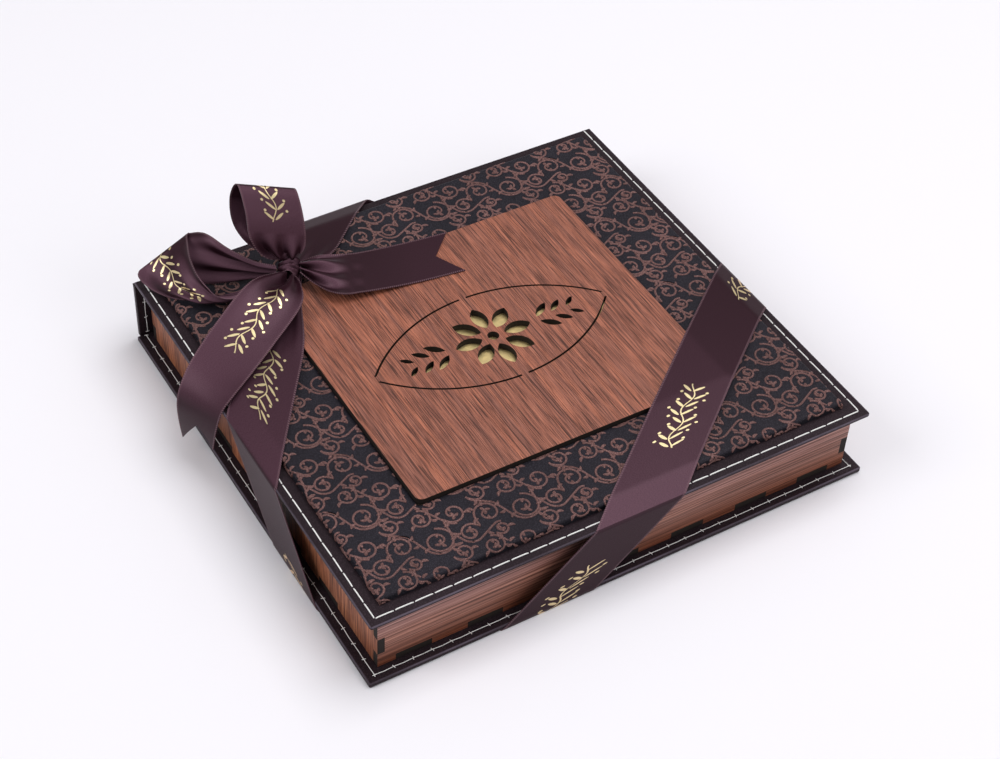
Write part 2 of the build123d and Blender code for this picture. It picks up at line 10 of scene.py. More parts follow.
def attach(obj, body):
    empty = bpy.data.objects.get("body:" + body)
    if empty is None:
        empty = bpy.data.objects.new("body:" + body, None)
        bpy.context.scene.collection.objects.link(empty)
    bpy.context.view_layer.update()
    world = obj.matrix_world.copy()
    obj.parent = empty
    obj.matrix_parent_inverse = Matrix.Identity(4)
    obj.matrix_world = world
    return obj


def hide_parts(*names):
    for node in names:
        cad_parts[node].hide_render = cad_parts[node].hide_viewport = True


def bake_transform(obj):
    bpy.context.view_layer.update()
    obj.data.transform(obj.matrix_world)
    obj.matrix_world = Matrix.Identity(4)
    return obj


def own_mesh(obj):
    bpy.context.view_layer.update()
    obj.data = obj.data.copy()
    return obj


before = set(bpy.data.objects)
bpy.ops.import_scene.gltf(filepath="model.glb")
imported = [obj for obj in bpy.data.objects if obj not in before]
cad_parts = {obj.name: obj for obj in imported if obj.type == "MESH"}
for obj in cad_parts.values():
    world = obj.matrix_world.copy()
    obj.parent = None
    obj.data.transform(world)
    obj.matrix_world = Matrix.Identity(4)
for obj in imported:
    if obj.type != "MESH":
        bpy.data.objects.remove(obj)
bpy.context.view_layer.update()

MM = 0.001
scene = bpy.context.scene
scene.view_settings.view_transform = "Standard"
chance = random.Random(41)

# ---------------------------------------------------------------- sizes, mm
COVER_X = 110.0
FRONT_Y = -103.0
FOLD_Y = 100.8
BACK_Y = 103.0
BASE_Z = 0.3
BASE_LEFT = -111.2
BASE_RIGHT = 110.5
BASE_FRONT = -104.2
BASE_TOP = 2.5
LID_Z = 30.1
LID_TOP = 32.3
LEATHER = 0.5
TURN_IN = 12.0
SKIN = 0.02
EDGE_ROUND = 0.45
RIM_WIDE = 4.5
RIM_RISE = 0.85
PANEL_X = 102.0
PANEL_Y = 95.0
PANEL_HIGH = 3.0
PANEL_ROUND = 1.2
PANEL_SEAT = 1.98
PLATE_X = 69.0
PLATE_Y = 63.0
PLATE_TOP = 37.5
RIBBON = 0.3
HALF_RIBBON = 12.5
NOTCH = 9.0
NOTCH_REACH = 22.0
PRINT_PITCH = 93.0
STITCH_INSET = 3.3
STITCH_PITCH = 8.0
STITCH_LONG = 7.3
THREAD = 0.28
SEAM_THREAD = 0.16
KNOT = Vector((-55.0, 69.5, 42.35))


# ================================================================ camera
def place_camera():
    """The camera stands where the photograph was taken from."""
    place = Matrix.Translation((-0.316724, -0.494524, 0.590224))
    azimuth = Matrix.Rotation(math.radians(-32.9955), 4, "Z")
    height = Matrix.Rotation(math.radians(90 - 44.4921), 4, "X")
    roll = Matrix.Rotation(math.radians(3.2813), 4, "Z")
    bpy.ops.object.camera_add(location=(0, 0, 0))
    camera = bpy.context.object
    camera.name = "camera"
    camera.matrix_world = place @ azimuth @ height @ roll
    camera.data.sensor_width = 36
    camera.data.lens = 73.22
    camera.data.clip_start = 0.01
    scene.camera = camera


place_camera()


# ================================================================ node helpers
class Value:
    """A number in a node tree. A sum or comparison with it adds a Math node."""

    def __init__(self, nodes, socket):
        self.nodes = nodes
        self.socket = socket

    def do(self, operation, second=0.0):
        made = self.nodes.add("ShaderNodeMath", {"operation": operation}, i0=self, i1=second)
        return Value(self.nodes, made.outputs[0])

    def __abs__(self):
        return self.do("ABSOLUTE")

    def spread(self, low, high, out_low=0.0, out_high=1.0):
        """The stretch from low to high, mapped to another stretch and held at its ends."""
        made = self.nodes.add("ShaderNodeMapRange", None, i0=self, i1=low, i2=high, i3=out_low, i4=out_high)
        return Value(self.nodes, made.outputs[0])


for sign, operation in (("add", "ADD"), ("sub", "SUBTRACT"), ("mul", "MULTIPLY"), ("truediv", "DIVIDE"),
                        ("pow", "POWER"), ("mod", "FLOORED_MODULO"), ("lt", "LESS_THAN"),
                        ("gt", "GREATER_THAN")):
    setattr(Value, f"__{sign}__", lambda self, other, operation=operation: self.do(operation, other))


class Nodes:
    """Adds nodes to one tree, and joins them."""

    def __init__(self, tree):
        self.tree = tree

    def add(self, kind, settings=None, **inputs):
        """A node; an input is given by its name, or as i and its number."""
        made = self.tree.nodes.new(kind)
        for key, value in (settings or {}).items():
            setattr(made, key, value)
        for key, value in inputs.items():
            self.feed(made, key.replace("_", " "), value)
        return made

    def feed(self, made, key, value):
        numbered = key[:1] == "i" and key[1:].isdigit()
        socket = made.inputs[int(key[1:])] if numbered else made.inputs[key]
        value = getattr(value, "socket", value)
        if isinstance(value, bpy.types.NodeSocket):
            self.tree.links.new(value, socket)
        else:
            socket.default_value = value

    def parts(self, vector):
        made = self.add("ShaderNodeSeparateXYZ", None, Vector=vector)
        return [Value(self, socket) for socket in made.outputs]

    def stretched(self, vector, factors):
        return self.add("ShaderNodeVectorMath", {"operation": "MULTIPLY"}, i0=vector, i1=factors).outputs[0]

    def swayed(self, vector, share, scale):
        """The vector, moved about by soft noise."""
        sway = self.add("ShaderNodeTexNoise", None, Vector=vector, Scale=scale, Detail=2.0)
        return self.add("ShaderNodeVectorMath", {"operation": "MULTIPLY_ADD"},
                        i0=sway.outputs["Color"], i1=(share,) * 3, i2=vector).outputs[0]

    def noise(self, vector, scale, detail=2.0, roughness=0.5, dimensions="3D"):
        made = self.add("ShaderNodeTexNoise", {"noise_dimensions": dimensions}, Vector=vector, Scale=scale,
                        Detail=detail, Roughness=roughness)
        return Value(self, made.outputs["Fac"])

    def ramp(self, value, *stops):
        made = self.add("ShaderNodeValToRGB", None, Fac=value)
        elements = made.color_ramp.elements
        while len(elements) < len(stops):
            elements.new(0.5)
        for element, (position, color) in zip(elements, stops):
            element.position = position
            element.color = (*color, 1)
        return made.outputs[0]

    def blend(self, share, first, second, how="MIX"):
        """Two colours mixed; a colour is a socket or (red, green, blue)."""
        first, second = ((*part, 1) if isinstance(part, tuple) else part for part in (first, second))
        settings = {"data_type": "RGBA", "blend_type": how}
        return self.add("ShaderNodeMix", settings, i0=share, i6=first, i7=second).outputs[2]

    def tint(self, colour, factor):
        """A colour times another colour, or times a number."""
        if isinstance(factor, Value):
            factor = self.add("ShaderNodeCombineColor", None, i0=factor, i1=factor, i2=factor).outputs[0]
        return self.blend(1.0, colour, factor, "MULTIPLY")

    def group(self, tree, **inputs):
        """What a node group gives, by name."""
        made = self.add("ShaderNodeGroup", {"node_tree": tree}, **inputs)
        return {socket.name: Value(self, socket) for socket in made.outputs}


class Finish(Nodes):
    """A new material with its nodes and its shader."""

    def __init__(self, name):
        self.material = bpy.data.materials.new(name)
        self.material.use_nodes = True
        super().__init__(self.material.node_tree)
        self.shader = self.tree.nodes["Principled BSDF"]

    def spot(self):
        return self.add("ShaderNodeTexCoord").outputs["Object"]

    def set(self, **inputs):
        for key, value in inputs.items():
            self.feed(self.shader, key.replace("_", " "), value)

    def bump(self, height, strength, distance):
        made = self.add("ShaderNodeBump", None, Height=height, Strength=strength, Distance=distance)
        self.set(Normal=made.outputs[0])


def shade_group(name, inputs, outputs, fill):
    """A node group: inputs are {name: (kind, value)}, and its outputs are numbers."""
    tree = bpy.data.node_groups.new(name, "ShaderNodeTree")
    for key, (kind, value) in inputs.items():
        socket = tree.interface.new_socket(name=key, in_out="INPUT", socket_type=f"NodeSocket{kind}")
        socket.default_value = value
    for key in outputs:
        tree.interface.new_socket(name=key, in_out="OUTPUT", socket_type="NodeSocketFloat")
    nodes = Nodes(tree)
    given = tree.nodes.new("NodeGroupInput")
    result = tree.nodes.new("NodeGroupOutput")
    for key, value in fill(nodes, *(given.outputs[name] for name in inputs)).items():
        nodes.feed(result, key, value)
    return tree


def fill_pebbles(nodes, vector, scale):
    """Leather grain: small rounded pebbles with creases between, and broad soft waves."""
    spot = nodes.add("ShaderNodeVectorMath", {"operation": "SCALE"}, i0=vector, Scale=scale).outputs[0]
    cell = nodes.add("ShaderNodeTexVoronoi", {"feature": "DISTANCE_TO_EDGE"},
                     Vector=nodes.swayed(spot, 0.7, 0.6), Scale=1.0)
    pebble = Value(nodes, cell.outputs["Distance"]).spread(0.0, 0.28)
    height = nodes.noise(spot, 3.1, 3.0) * 0.35 + pebble
    return {"Height": height, "Pebble": pebble, "Patches": nodes.noise(spot, 0.03, 3.0)}


def fill_grain(nodes, vector, stretch):
    """Veneer: fine straight streaks, broad bands and short dark pores along one axis."""
    bent = nodes.swayed(nodes.stretched(vector, stretch), 0.5, 0.12)
    return {"Streaks": nodes.noise(bent, 1.0, 6.0, 0.65), "Bands": nodes.noise(bent, 0.07, 4.0),
            "Pores": nodes.noise(bent, 0.85, 1.0)}


def fill_weave(nodes, vector):
    """Satin: fine floats along the ribbon, and a corded selvedge at each edge."""
    along, across, _ = nodes.parts(vector)
    selvedge = abs(across % 2.0 - 0.5).spread(0.466, 0.474)
    rib = selvedge * (along * 190.0).do("SINE").spread(-0.6, 0.6)
    floats = nodes.noise(nodes.stretched(vector, (14.0, 300.0, 1.0)), 1.0, 2.0, dimensions="2D")
    slub = nodes.noise(nodes.stretched(vector, (80.0, 60.0, 1.0)), 1.0, 2.0, dimensions="2D")
    return {"Height": rib * 3.0 + (floats + slub * 0.5), "Rib": rib, "Slub": slub}


def fill_print(nodes, vector):
    """Gold sprigs and dots, printed at intervals along the ribbon's face: 1 where there is gold."""
    along, across, _ = nodes.parts(vector)
    printed_side = across < 1.5
    along, across = along * 25.0, (across - 0.5) * 25.0
    group = along % PRINT_PITCH - PRINT_PITCH / 2
    far = abs(group)

    leaf_pitch = 4.4

    def wave(spot):
        return (spot * 0.42).do("SINE") * 1.3

    def spots(shift, middle, lean, long, wide, reach):
        step = (group + shift) % leaf_pitch - leaf_pitch / 2
        out = abs(across - wave(group - step)) - middle
        size = (abs(step - out * lean) / wide) ** 2.0 + (abs(out) / long) ** 1.6
        return (size < 1.0) * (far < reach)

    stem = (abs(across - wave(group)) < 0.24) * (far < 18.0)
    leaves = spots(101.2, 2.2, 0.8, 1.9, 0.75, 17.6)
    dots = spots(103.2, 4.7, 0.0, 0.6, 0.6, 15.4)
    return {"Gold": stem.do("MAXIMUM", leaves.do("MAXIMUM", dots)) * printed_side}


SPOT = ("Vector", (0.0, 0.0, 0.0))
PEBBLES = shade_group("leather_pebbles", {"Vector": SPOT, "Scale": ("Float", 900.0)},
                      ("Height", "Pebble", "Patches"), fill_pebbles)
GRAIN = shade_group("veneer_grain", {"Vector": SPOT, "Stretch": ("Vector", (1200.0, 90.0, 1200.0))},
                    ("Streaks", "Bands", "Pores"), fill_grain)
WEAVE = shade_group("satin_weave", {"Vector": SPOT}, ("Height", "Rib", "Slub"), fill_weave)
PRINT = shade_group("gold_print", {"Vector": SPOT}, ("Gold",), fill_print)


# ================================================================ finishes
def leather_finish(name, dark, light, roughness=0.42, scale=1100.0, strength=0.35, edge_highlight_mask=None):
    """Pebbled leatherette. An optional mask (finish, spot) of its top outer edge lightens the colour there: a
    painted highlight.
    """
    finish = Finish(name)
    spot = finish.spot()
    pebbles = finish.group(PEBBLES, Vector=spot, Scale=scale)
    patches = pebbles["Patches"]
    colour = finish.tint(finish.blend(pebbles["Pebble"], dark, light), patches.spread(0.3, 0.7, 0.82, 1.16))
    # painted highlight: the top outer edge is lightened to violet-grey, in patches
    if edge_highlight_mask:
        painted_highlight = edge_highlight_mask(finish, spot) * patches.spread(0.35, 0.6, 0.25, 0.75)
        colour = finish.blend(painted_highlight, colour, (0.135, 0.110, 0.145))
    rough = pebbles["Height"].spread(0.0, 1.3, roughness + 0.14, roughness - 0.06)
    finish.set(Base_Color=colour, Roughness=rough, Specular_IOR_Level=0.15,
               Specular_Tint=(1.0, 0.84, 0.94, 1))
    finish.bump(pebbles["Height"], strength, 0.00012)
    return finish.material


def wood_finish(name, stretch, dark, middle, bright, burnt, painted_light_tint=None, pores_from=0.60, pore_share=0.65):
    """Veneered sheet. burnt(finish, spot) is the mask of the laser's charred cuts."""
    finish = Finish(name)
    spot = finish.spot()
    grain = finish.group(GRAIN, Vector=spot, Stretch=stretch)
    streaks = grain["Streaks"]
    colour = finish.ramp(streaks, (0.38, dark), (0.5, middle), (0.62, bright))
    bands = finish.ramp(grain["Bands"], (0.36, (0.76, 0.78, 0.84)), (0.64, (1.20, 1.12, 1.02)))
    colour = finish.tint(colour, bands)
    pore = grain["Pores"].spread(pores_from, pores_from + 0.06)
    colour = finish.blend(pore * pore_share, colour, (dark[0] * 0.30, dark[1] * 0.26, dark[2] * 0.28))
    # painted light: an optional tint by position, here a painted sheen near the lid
    if painted_light_tint:
        colour = finish.tint(colour, painted_light_tint(finish, spot))
    charred = burnt(finish, spot)
    colour = finish.blend(charred, colour, (0.014, 0.009, 0.007))
    finish.set(Base_Color=colour, Roughness=charred * 0.3 + streaks.spread(0.3, 0.7, 0.52, 0.42),
               Specular_IOR_Level=0.35)
    finish.bump(streaks - pore * 0.8, 0.25, 0.00015)
    return finish.material


def paper_finish(name, colour, roughness, fleck=0.06):
    finish = Finish(name)
    spot = finish.spot()
    fibres, clouds = finish.noise(spot, 900.0, 5.0), finish.noise(spot, 60.0, 3.0)
    finish.set(Base_Color=finish.tint(colour, (fibres + clouds).spread(0.7, 1.3, 1 - fleck, 1 + fleck)),
               Roughness=clouds.spread(0.3, 0.7, roughness - 0.06, roughness + 0.06))
    finish.bump(fibres, 0.2, 0.00005)
    return finish.material


def foil_finish(name, colour, roughness):
    finish = Finish(name)
    dents = finish.noise(finish.spot(), 260.0, 3.0)
    finish.set(Base_Color=finish.ramp(dents, (0.35, tuple(c * 0.82 for c in colour)), (0.65, colour)),
               Roughness=dents.spread(0.3, 0.7, roughness, roughness + 0.12), Metallic=1.0)
    finish.bump(dents, 0.15, 0.0001)
    return finish.material


def satin_finish(name):
    """Satin with a painted sheen: its colour is brighter where it faces the viewer; it has its selvedges and
    its gold print.
    """
    finish = Finish(name)
    ribbon_map = finish.add("ShaderNodeUVMap", {"uv_map": "Ribbon"}).outputs[0]
    weave = finish.group(WEAVE, Vector=ribbon_map)
    gold = finish.group(PRINT, Vector=ribbon_map)["Gold"]
    # painted sheen: the base colour is lighter where the surface faces the viewer and darker at grazing
    # angles
    turned = Value(finish, finish.add("ShaderNodeLayerWeight", None, Blend=0.5).outputs["Facing"])
    colour = finish.blend(turned.spread(0.08, 0.38, 1.0, 0.0), (0.022, 0.0070, 0.0115), (0.10, 0.048, 0.068))
    fleck = finish.ramp(weave["Slub"], (0.3, (0.78, 0.74, 0.76)), (0.7, (1.24, 1.26, 1.26)))
    colour = finish.tint(colour, fleck)
    colour = finish.blend(weave["Rib"] * 0.7, colour, (0.19, 0.11, 0.13))
    colour = finish.blend(gold, colour, (0.80, 0.66, 0.38))
    finish.set(Base_Color=colour, Metallic=gold * 0.75, Roughness=weave["Slub"].spread(0.3, 0.7, 0.28, 0.38),
               Specular_IOR_Level=0.16, Specular_Tint=(1.0, 0.66, 0.78, 1), Sheen_Weight=0.03,
               Sheen_Roughness=0.4, Sheen_Tint=(0.75, 0.5, 0.58, 1))
    finish.bump(weave["Height"], 0.3, 0.00004)
    return finish.material


def thread_finish(name):
    finish = Finish(name)
    spot = finish.spot()
    turn = finish.add("ShaderNodeVectorRotate", {"rotation_type": "Z_AXIS"}, Vector=spot, Angle=0.8)
    plies = finish.add("ShaderNodeTexWave", None, Vector=turn.outputs[0], Scale=420.0, Distortion=1.5,
                       Detail=2.0)
    fuzz = finish.noise(spot, 2200.0, 3.0)
    tone = Value(finish, plies.outputs["Fac"]) + fuzz
    finish.set(Base_Color=finish.ramp(tone, (0.2, (0.66, 0.64, 0.63)), (0.8, (0.88, 0.87, 0.86))),
               Roughness=fuzz.spread(0.3, 0.7, 0.5, 0.7))
    finish.bump(tone, 0.4, 0.00008)
    return finish.material


def painted_edge_highlight(left, right, front, top):
    """The mask of a cover's top outer edge, where a highlight is painted into the leather's colour; lengths
    in millimetres.
    """
    def mask(finish, spot):
        x, y, z = finish.parts(spot)
        out_x = abs(x - (left + right) / 2 * MM) - (right - left) / 2 * MM
        out_y = y * -1.0 + front * MM
        rim = out_x.do("MAXIMUM", out_y).spread(-0.6 * MM, -0.3 * MM)
        return rim * z.spread((top - 0.6) * MM, (top - 0.35) * MM)
    return mask


def burnt_cuts(x_from=0, y_from=0, z_from=0):
    """The mask of a tray sheet's burnt cuts: past |x|, past |y| from its middle, or above z, in mm."""
    def mask(finish, spot):
        x, y, z = finish.parts(spot)
        cuts = []
        if x_from:
            cuts.append(abs(x).spread(x_from * MM, (x_from + 0.08) * MM))
        if y_from:
            cuts.append(abs(y + 0.25 * MM) > y_from * MM)
        if z_from:
            cuts.append(z.spread(z_from * MM, (z_from + 0.08) * MM))
        return cuts[0].do("MAXIMUM", cuts[1])
    return mask


def plate_cuts(finish, spot):
    """The plate's edges and piercings, below its face, are charred."""
    return finish.parts(spot)[2].spread((PLATE_TOP - 0.05) * MM, (PLATE_TOP - 0.02) * MM, 1.0, 0.0)


def painted_sheen_ramp(finish, spot):
    """The front wall is mauve-brown with a painted bluish sheen near the lid, and darker and redder near the
    base.
    """
    level = finish.parts(spot)[2].spread(4 * MM, 26 * MM)
    return finish.ramp(level, (0.0, (0.78, 0.50, 0.34)), (0.45, (1.15, 0.96, 0.84)), (1.0, (1.5, 1.48, 1.62)))


COVER_DARK, COVER_LIGHT = (0.014, 0.0085, 0.011), (0.027, 0.017, 0.022)
cover_leather = leather_finish("cover_leather", COVER_DARK, COVER_LIGHT)
# the lid's and the base's top outer edges get a painted highlight
lid_leather = leather_finish("lid_leather", COVER_DARK, COVER_LIGHT,
                             edge_highlight_mask=painted_edge_highlight(-COVER_X, COVER_X, FRONT_Y, LID_TOP))
base_leather = leather_finish("base_leather", COVER_DARK, (0.030, 0.019, 0.024),
                              edge_highlight_mask=painted_edge_highlight(BASE_LEFT, BASE_RIGHT, BASE_FRONT, BASE_TOP))
panel_ground = leather_finish("panel_ground", (0.010, 0.0095, 0.013), (0.025, 0.023, 0.031),
                              roughness=0.46, scale=1300.0, strength=0.3)
panel_copper = leather_finish("panel_copper", (0.095, 0.045, 0.042), (0.24, 0.13, 0.12),
                              roughness=0.32, scale=1500.0, strength=0.25)
satin = satin_finish("satin")
thread = thread_finish("thread")
raw_board = paper_finish("raw_board", (0.42, 0.37, 0.3), roughness=0.8, fleck=0.12)

front_wood = wood_finish("front_wood", (14.0, 1600.0, 1900.0), (0.090, 0.041, 0.031), (0.215, 0.105, 0.084),
                         (0.36, 0.200, 0.165), burnt_cuts(x_from=104.92, z_from=29.9), painted_light_tint=painted_sheen_ramp,
                         pores_from=0.63, pore_share=0.55)
side_wood = wood_finish("side_wood", (1900.0, 1900.0, 60.0), (0.11, 0.036, 0.020), (0.28, 0.10, 0.055),
                        (0.46, 0.19, 0.10), burnt_cuts(y_from=98.2, z_from=29.9))
floor_wood = wood_finish("floor_wood", (60.0, 1000.0, 900.0), (0.13, 0.055, 0.035), (0.28, 0.12, 0.075),
                         (0.42, 0.20, 0.12), burnt_cuts(x_from=104.86, y_from=98.2))
plate_wood = wood_finish("plate_wood", (4900.0, 62.0, 4900.0), (0.125, 0.042, 0.028), (0.315, 0.110, 0.070),
                         (0.49, 0.190, 0.125), plate_cuts, pores_from=0.55, pore_share=0.85)

CAD_FINISHES = (
    (front_wood, ("tray_front_wall", "tray_back_wall")),
    (side_wood, ("tray_left_wall", "tray_right_wall")),
    (floor_wood, ("tray_floor",)),
    (plate_wood, ("top_plate",)),
    (raw_board, ("base_board", "lid_board", "spine_board")),
    (paper_finish("lining_paper", (0.05, 0.04, 0.042), 0.6), ("base_lining", "lid_lining", "spine_lining")),
    (paper_finish("liner_paper", (0.84, 0.82, 0.76), 0.45), ("tray_liner",)),
    (foil_finish("gold_card", (1.0, 0.78, 0.38), 0.36), ("gold_foil",)),
)
for material, names in CAD_FINISHES:
    for name in names:
        for slot in bpy.data.objects[name].material_slots:
            slot.material = material


# ================================================================ modelling helpers
def alone(obj):
    """Nothing but this object is selected, and it is the active one."""
    bpy.ops.object.select_all(action="DESELECT")
    obj.select_set(True)
    bpy.context.view_layer.objects.active = obj


def settle(obj, name, material):
    """The object's place goes into its mesh, and it gets its name and its finish."""
    alone(obj)
    bpy.ops.object.transform_apply(location=True, rotation=True, scale=True)
    obj.name = name
    obj.data.name = name
    obj.data.materials.clear()
    obj.data.materials.append(material)
    return obj


def built(shape, name, material):
    """An object at the origin, from a mesh that was built in millimetres times MM."""
    data = bpy.data.meshes.new(name)
    shape.to_mesh(data)
    shape.free()
    made = bpy.data.objects.new(name, data)
    scene.collection.objects.link(made)
    data.materials.append(material)
    return made


def hand_over(piece, slot, body, *nodes):
    """The piece goes under the empty of the body that carries it, and the CAD nodes that it stands for are
    hidden. slot is not used.
    """
    if nodes:
        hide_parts(*nodes)
    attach(piece, body)


def modify(obj, kind, **settings):
    """Adds a modifier with its settings, and applies it."""
    modifier = obj.modifiers.new(kind.lower(), kind)
    for key, value in settings.items():
        setattr(modifier, key, value)
    alone(obj)
    bpy.ops.object.modifier_apply(modifier=modifier.name)


def smooth_by_angle(obj, degrees):
    alone(obj)
    bpy.ops.object.shade_smooth_by_angle(angle=math.radians(degrees))


def pick(obj, kind, wanted):
    """In edit mode, only the faces or edges for which wanted(part) is true are selected."""
    bpy.ops.mesh.select_mode(type=kind)
    bpy.ops.mesh.select_all(action="DESELECT")
    shape = bmesh.from_edit_mesh(obj.data)
    for part in shape.faces if kind == "FACE" else shape.edges:
        part.select_set(bool(wanted(part)))
    bmesh.update_edit_mesh(obj.data)


def move_points(obj, moved):
    """In edit mode, each point goes where moved(point) says, both in millimetres."""
    shape = bmesh.from_edit_mesh(obj.data)
    for vertex in shape.verts:
        vertex.co = Vector(moved(vertex.co / MM)) * MM
    bmesh.update_edit_mesh(obj.data)


def bevel(offset, segments, profile):
    bpy.ops.mesh.bevel(offset=offset * MM, offset_type="OFFSET", segments=segments, profile=profile)


def begin_edit():
    bpy.ops.object.mode_set(mode="EDIT")


def end_edit():
    """Leaves edit mode, with every face turned outwards."""
    bpy.ops.mesh.select_all(action="SELECT")
    bpy.ops.mesh.normals_make_consistent(inside=False)
    bpy.ops.object.mode_set(mode="OBJECT")


def cut_all(place, facing, **ends):
    """In edit mode, the whole mesh is cut along a plane, its place in millimetres."""
    bpy.ops.mesh.select_all(action="SELECT")
    bpy.ops.mesh.bisect(plane_co=Vector(place) * MM, plane_no=facing, **ends)


def add_block(low, high):
    """A cube primitive between two corners, in millimetres, with its size in its mesh."""
    bpy.ops.mesh.primitive_cube_add(size=1, location=(Vector(low) + Vector(high)) / 2 * MM)
    block = bpy.context.object
    block.scale = (Vector(high) - Vector(low)) * MM
    bpy.ops.object.transform_apply(location=True, rotation=True, scale=True)
    return block


def carve(obj, low, high, solver):
    """Takes a block, given by two corners in millimetres, out of an object."""
    block = add_block(low, high)
    modify(obj, "BOOLEAN", object=block, operation="DIFFERENCE", solver=solver)
    bpy.data.objects.remove(block)


def join(pieces):
    bpy.ops.object.select_all(action="DESELECT")
    for piece in pieces:
        piece.select_set(True)
    bpy.context.view_layer.objects.active = pieces[0]
    bpy.ops.object.join()
    return pieces[0]


def copy_of(obj, matrix):
    """A copy with its own mesh, placed by a matrix."""
    made = obj.copy()
    made.data = obj.data.copy()
    scene.collection.objects.link(made)
    made.matrix_world = matrix
    return made


def upright_edge(edge):
    return abs(edge.verts[0].co.z - edge.verts[1].co.z) > MM


# ================================================================ covers
def thin_rim(block):
    """In edit mode, the lid's rim beyond the tray gets thinner: its underside rises towards the edge."""
    reach_x, reach_y = COVER_X - RIM_WIDE, -FRONT_Y - RIM_WIDE
    cut_all((reach_x, 0, 0), (1, 0, 0))
    cut_all((-reach_x, 0, 0), (1, 0, 0))
    cut_all((0, -reach_y, 0), (0, 1, 0))

    def raised(spot):
        past = max(abs(spot.x) - reach_x, -spot.y - reach_y, 0.0) / RIM_WIDE
        lower = spot.z < (LID_Z + LID_TOP) / 2
        return spot.x, spot.y, spot.z + (RIM_RISE * min(past, 1.0) if lower else 0.0)

    move_points(block, raised)


def make_cover(name, low, high, open_side, corner, leather, node, body):
    """Leather wrapped round a board: rounded edges, and the window of its turned-in side."""
    block = add_block(low, high)
    window_end = FOLD_Y - TURN_IN
    begin_edit()
    pick(block, "FACE", lambda face: face.normal.dot(Vector(open_side)) > 0.9)
    bpy.ops.mesh.inset(thickness=TURN_IN * MM)
    bpy.ops.mesh.extrude_region_move(TRANSFORM_OT_translate={"value": Vector(open_side) * -LEATHER * MM})

    def open_window(spot):
        """The window is open at the fold, but for a skin that keeps the mesh whole."""
        return (spot.x, FOLD_Y - SKIN, spot.z) if abs(spot.y - window_end) < 0.5 else spot

    move_points(block, open_window)

    def outer_corner(edge):
        spots = [vertex.co / MM for vertex in edge.verts]
        at_corner = all(abs(spot.x) > COVER_X - 0.5 and spot.y < FRONT_Y + 0.5 for spot in spots)
        return at_corner and upright_edge(edge)

    def rim(edge):
        if len(edge.link_faces) != 2 or edge.calc_face_angle(0) < 1.2:
            return False
        spots = [vertex.co / MM for vertex in edge.verts]
        if all(spot.y > FOLD_Y - 0.01 for spot in spots):
            return False
        return all(abs(spot.x) > COVER_X - 1 or spot.y < FRONT_Y + 1.7 for spot in spots)

    pick(block, "EDGE", outer_corner)
    bevel(corner, 5, 0.5)
    pick(block, "EDGE", rim)
    bevel(min(EDGE_ROUND, corner * 0.6), 4, 0.6)
    if body == "lid":
        thin_rim(block)
    end_edit()
    cover = settle(block, name, leather)
    smooth_by_angle(cover, 40)
    hand_over(cover, "cover_leather", body, node)


def make_lid_board():
    """The board inside the lid, thinned at the rim like its leather."""
    board = add_block((-COVER_X + LEATHER, FRONT_Y + LEATHER, LID_Z + LEATHER),
                      (COVER_X - LEATHER, FOLD_Y - LEATHER, LID_TOP - LEATHER))
    begin_edit()
    thin_rim(board)
    end_edit()
    hand_over(settle(board, "lid_core", raw_board), "board", "lid", "lid_board")


def make_spine():
    """The spine's leather, with the turned-in ends and the window for its lining."""
    outer = add_block((-COVER_X, FOLD_Y, BASE_TOP), (COVER_X, BACK_Y, LID_Z))
    begin_edit()
    pick(outer, "EDGE", lambda edge: abs(edge.verts[0].co.x) > (COVER_X - 1) * MM and upright_edge(edge))
    bevel(EDGE_ROUND, 4, 0.6)
    end_edit()
    half = COVER_X - TURN_IN
    carve(outer, (-half, FOLD_Y - 1, BASE_TOP - 1), (half, FOLD_Y + LEATHER, LID_Z + 1), "EXACT")
    spine = settle(outer, "spine_cover", cover_leather)
    smooth_by_angle(spine, 40)
    hand_over(spine, "cover_leather", "spine", "spine_outer_leather")


def make_fold(name, centre_z, first_angle, node):
    """Bare leather that bends a quarter round between two boards, spun round its own centre."""
    bpy.ops.mesh.primitive_plane_add(size=1, location=(0, 0, 0))
    fold = bpy.context.object
    begin_edit()
    turn = math.radians(first_angle)
    outside = BACK_Y - FOLD_Y

    def section(spot):
        radius = outside if spot.y > 0 else outside - LEATHER
        return (math.copysign(COVER_X, spot.x), FOLD_Y + radius * math.cos(turn),
                centre_z + radius * math.sin(turn))

    move_points(fold, section)
    bpy.ops.mesh.select_all(action="SELECT")
    bpy.ops.mesh.spin(steps=8, dupli=False, angle=math.radians(90),
                      center=(0, FOLD_Y * MM, centre_z * MM), axis=(1, 0, 0))
    bpy.ops.mesh.select_all(action="SELECT")
    bpy.ops.mesh.remove_doubles(threshold=0.000001)
    end_edit()
    settle(fold, name, cover_leather)
    smooth_by_angle(fold, 40)
    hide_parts(node)
    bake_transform(fold)


make_cover("lid_cover", (-COVER_X, FRONT_Y, LID_Z), (COVER_X, FOLD_Y, LID_TOP), (0, 0, -1), 1.2, lid_leather,
           "lid_outer_leather", "lid")
make_cover("base_cover", (BASE_LEFT, BASE_FRONT, BASE_Z), (BASE_RIGHT, FOLD_Y, BASE_TOP), (0, 0, 1), 0.7,
           base_leather, "base_outer_leather", "base")
make_lid_board()
make_spine()
make_fold("lid_fold", LID_Z, 0, "lid_hinge_fold")
make_fold("base_fold", BASE_TOP, 270, "base_hinge_fold")


# ================================================================ padded panel
def wrapped(run, half):
    """Where a point at a distance along the leather lies: outwards, how far down, and its slope."""
    past = abs(run) - (half - PANEL_ROUND)
    if past <= 0:
        return run, 0.0, 0.0
    turn = min(past / PANEL_ROUND, math.pi / 2)
    down = max(past - PANEL_ROUND * math.pi / 2, 0.0)
    out = half - PANEL_ROUND + PANEL_ROUND * math.sin(turn) + down * 0.06
    return math.copysign(out, run), PANEL_ROUND * (1 - math.cos(turn)) + down, math.copysign(turn, run)


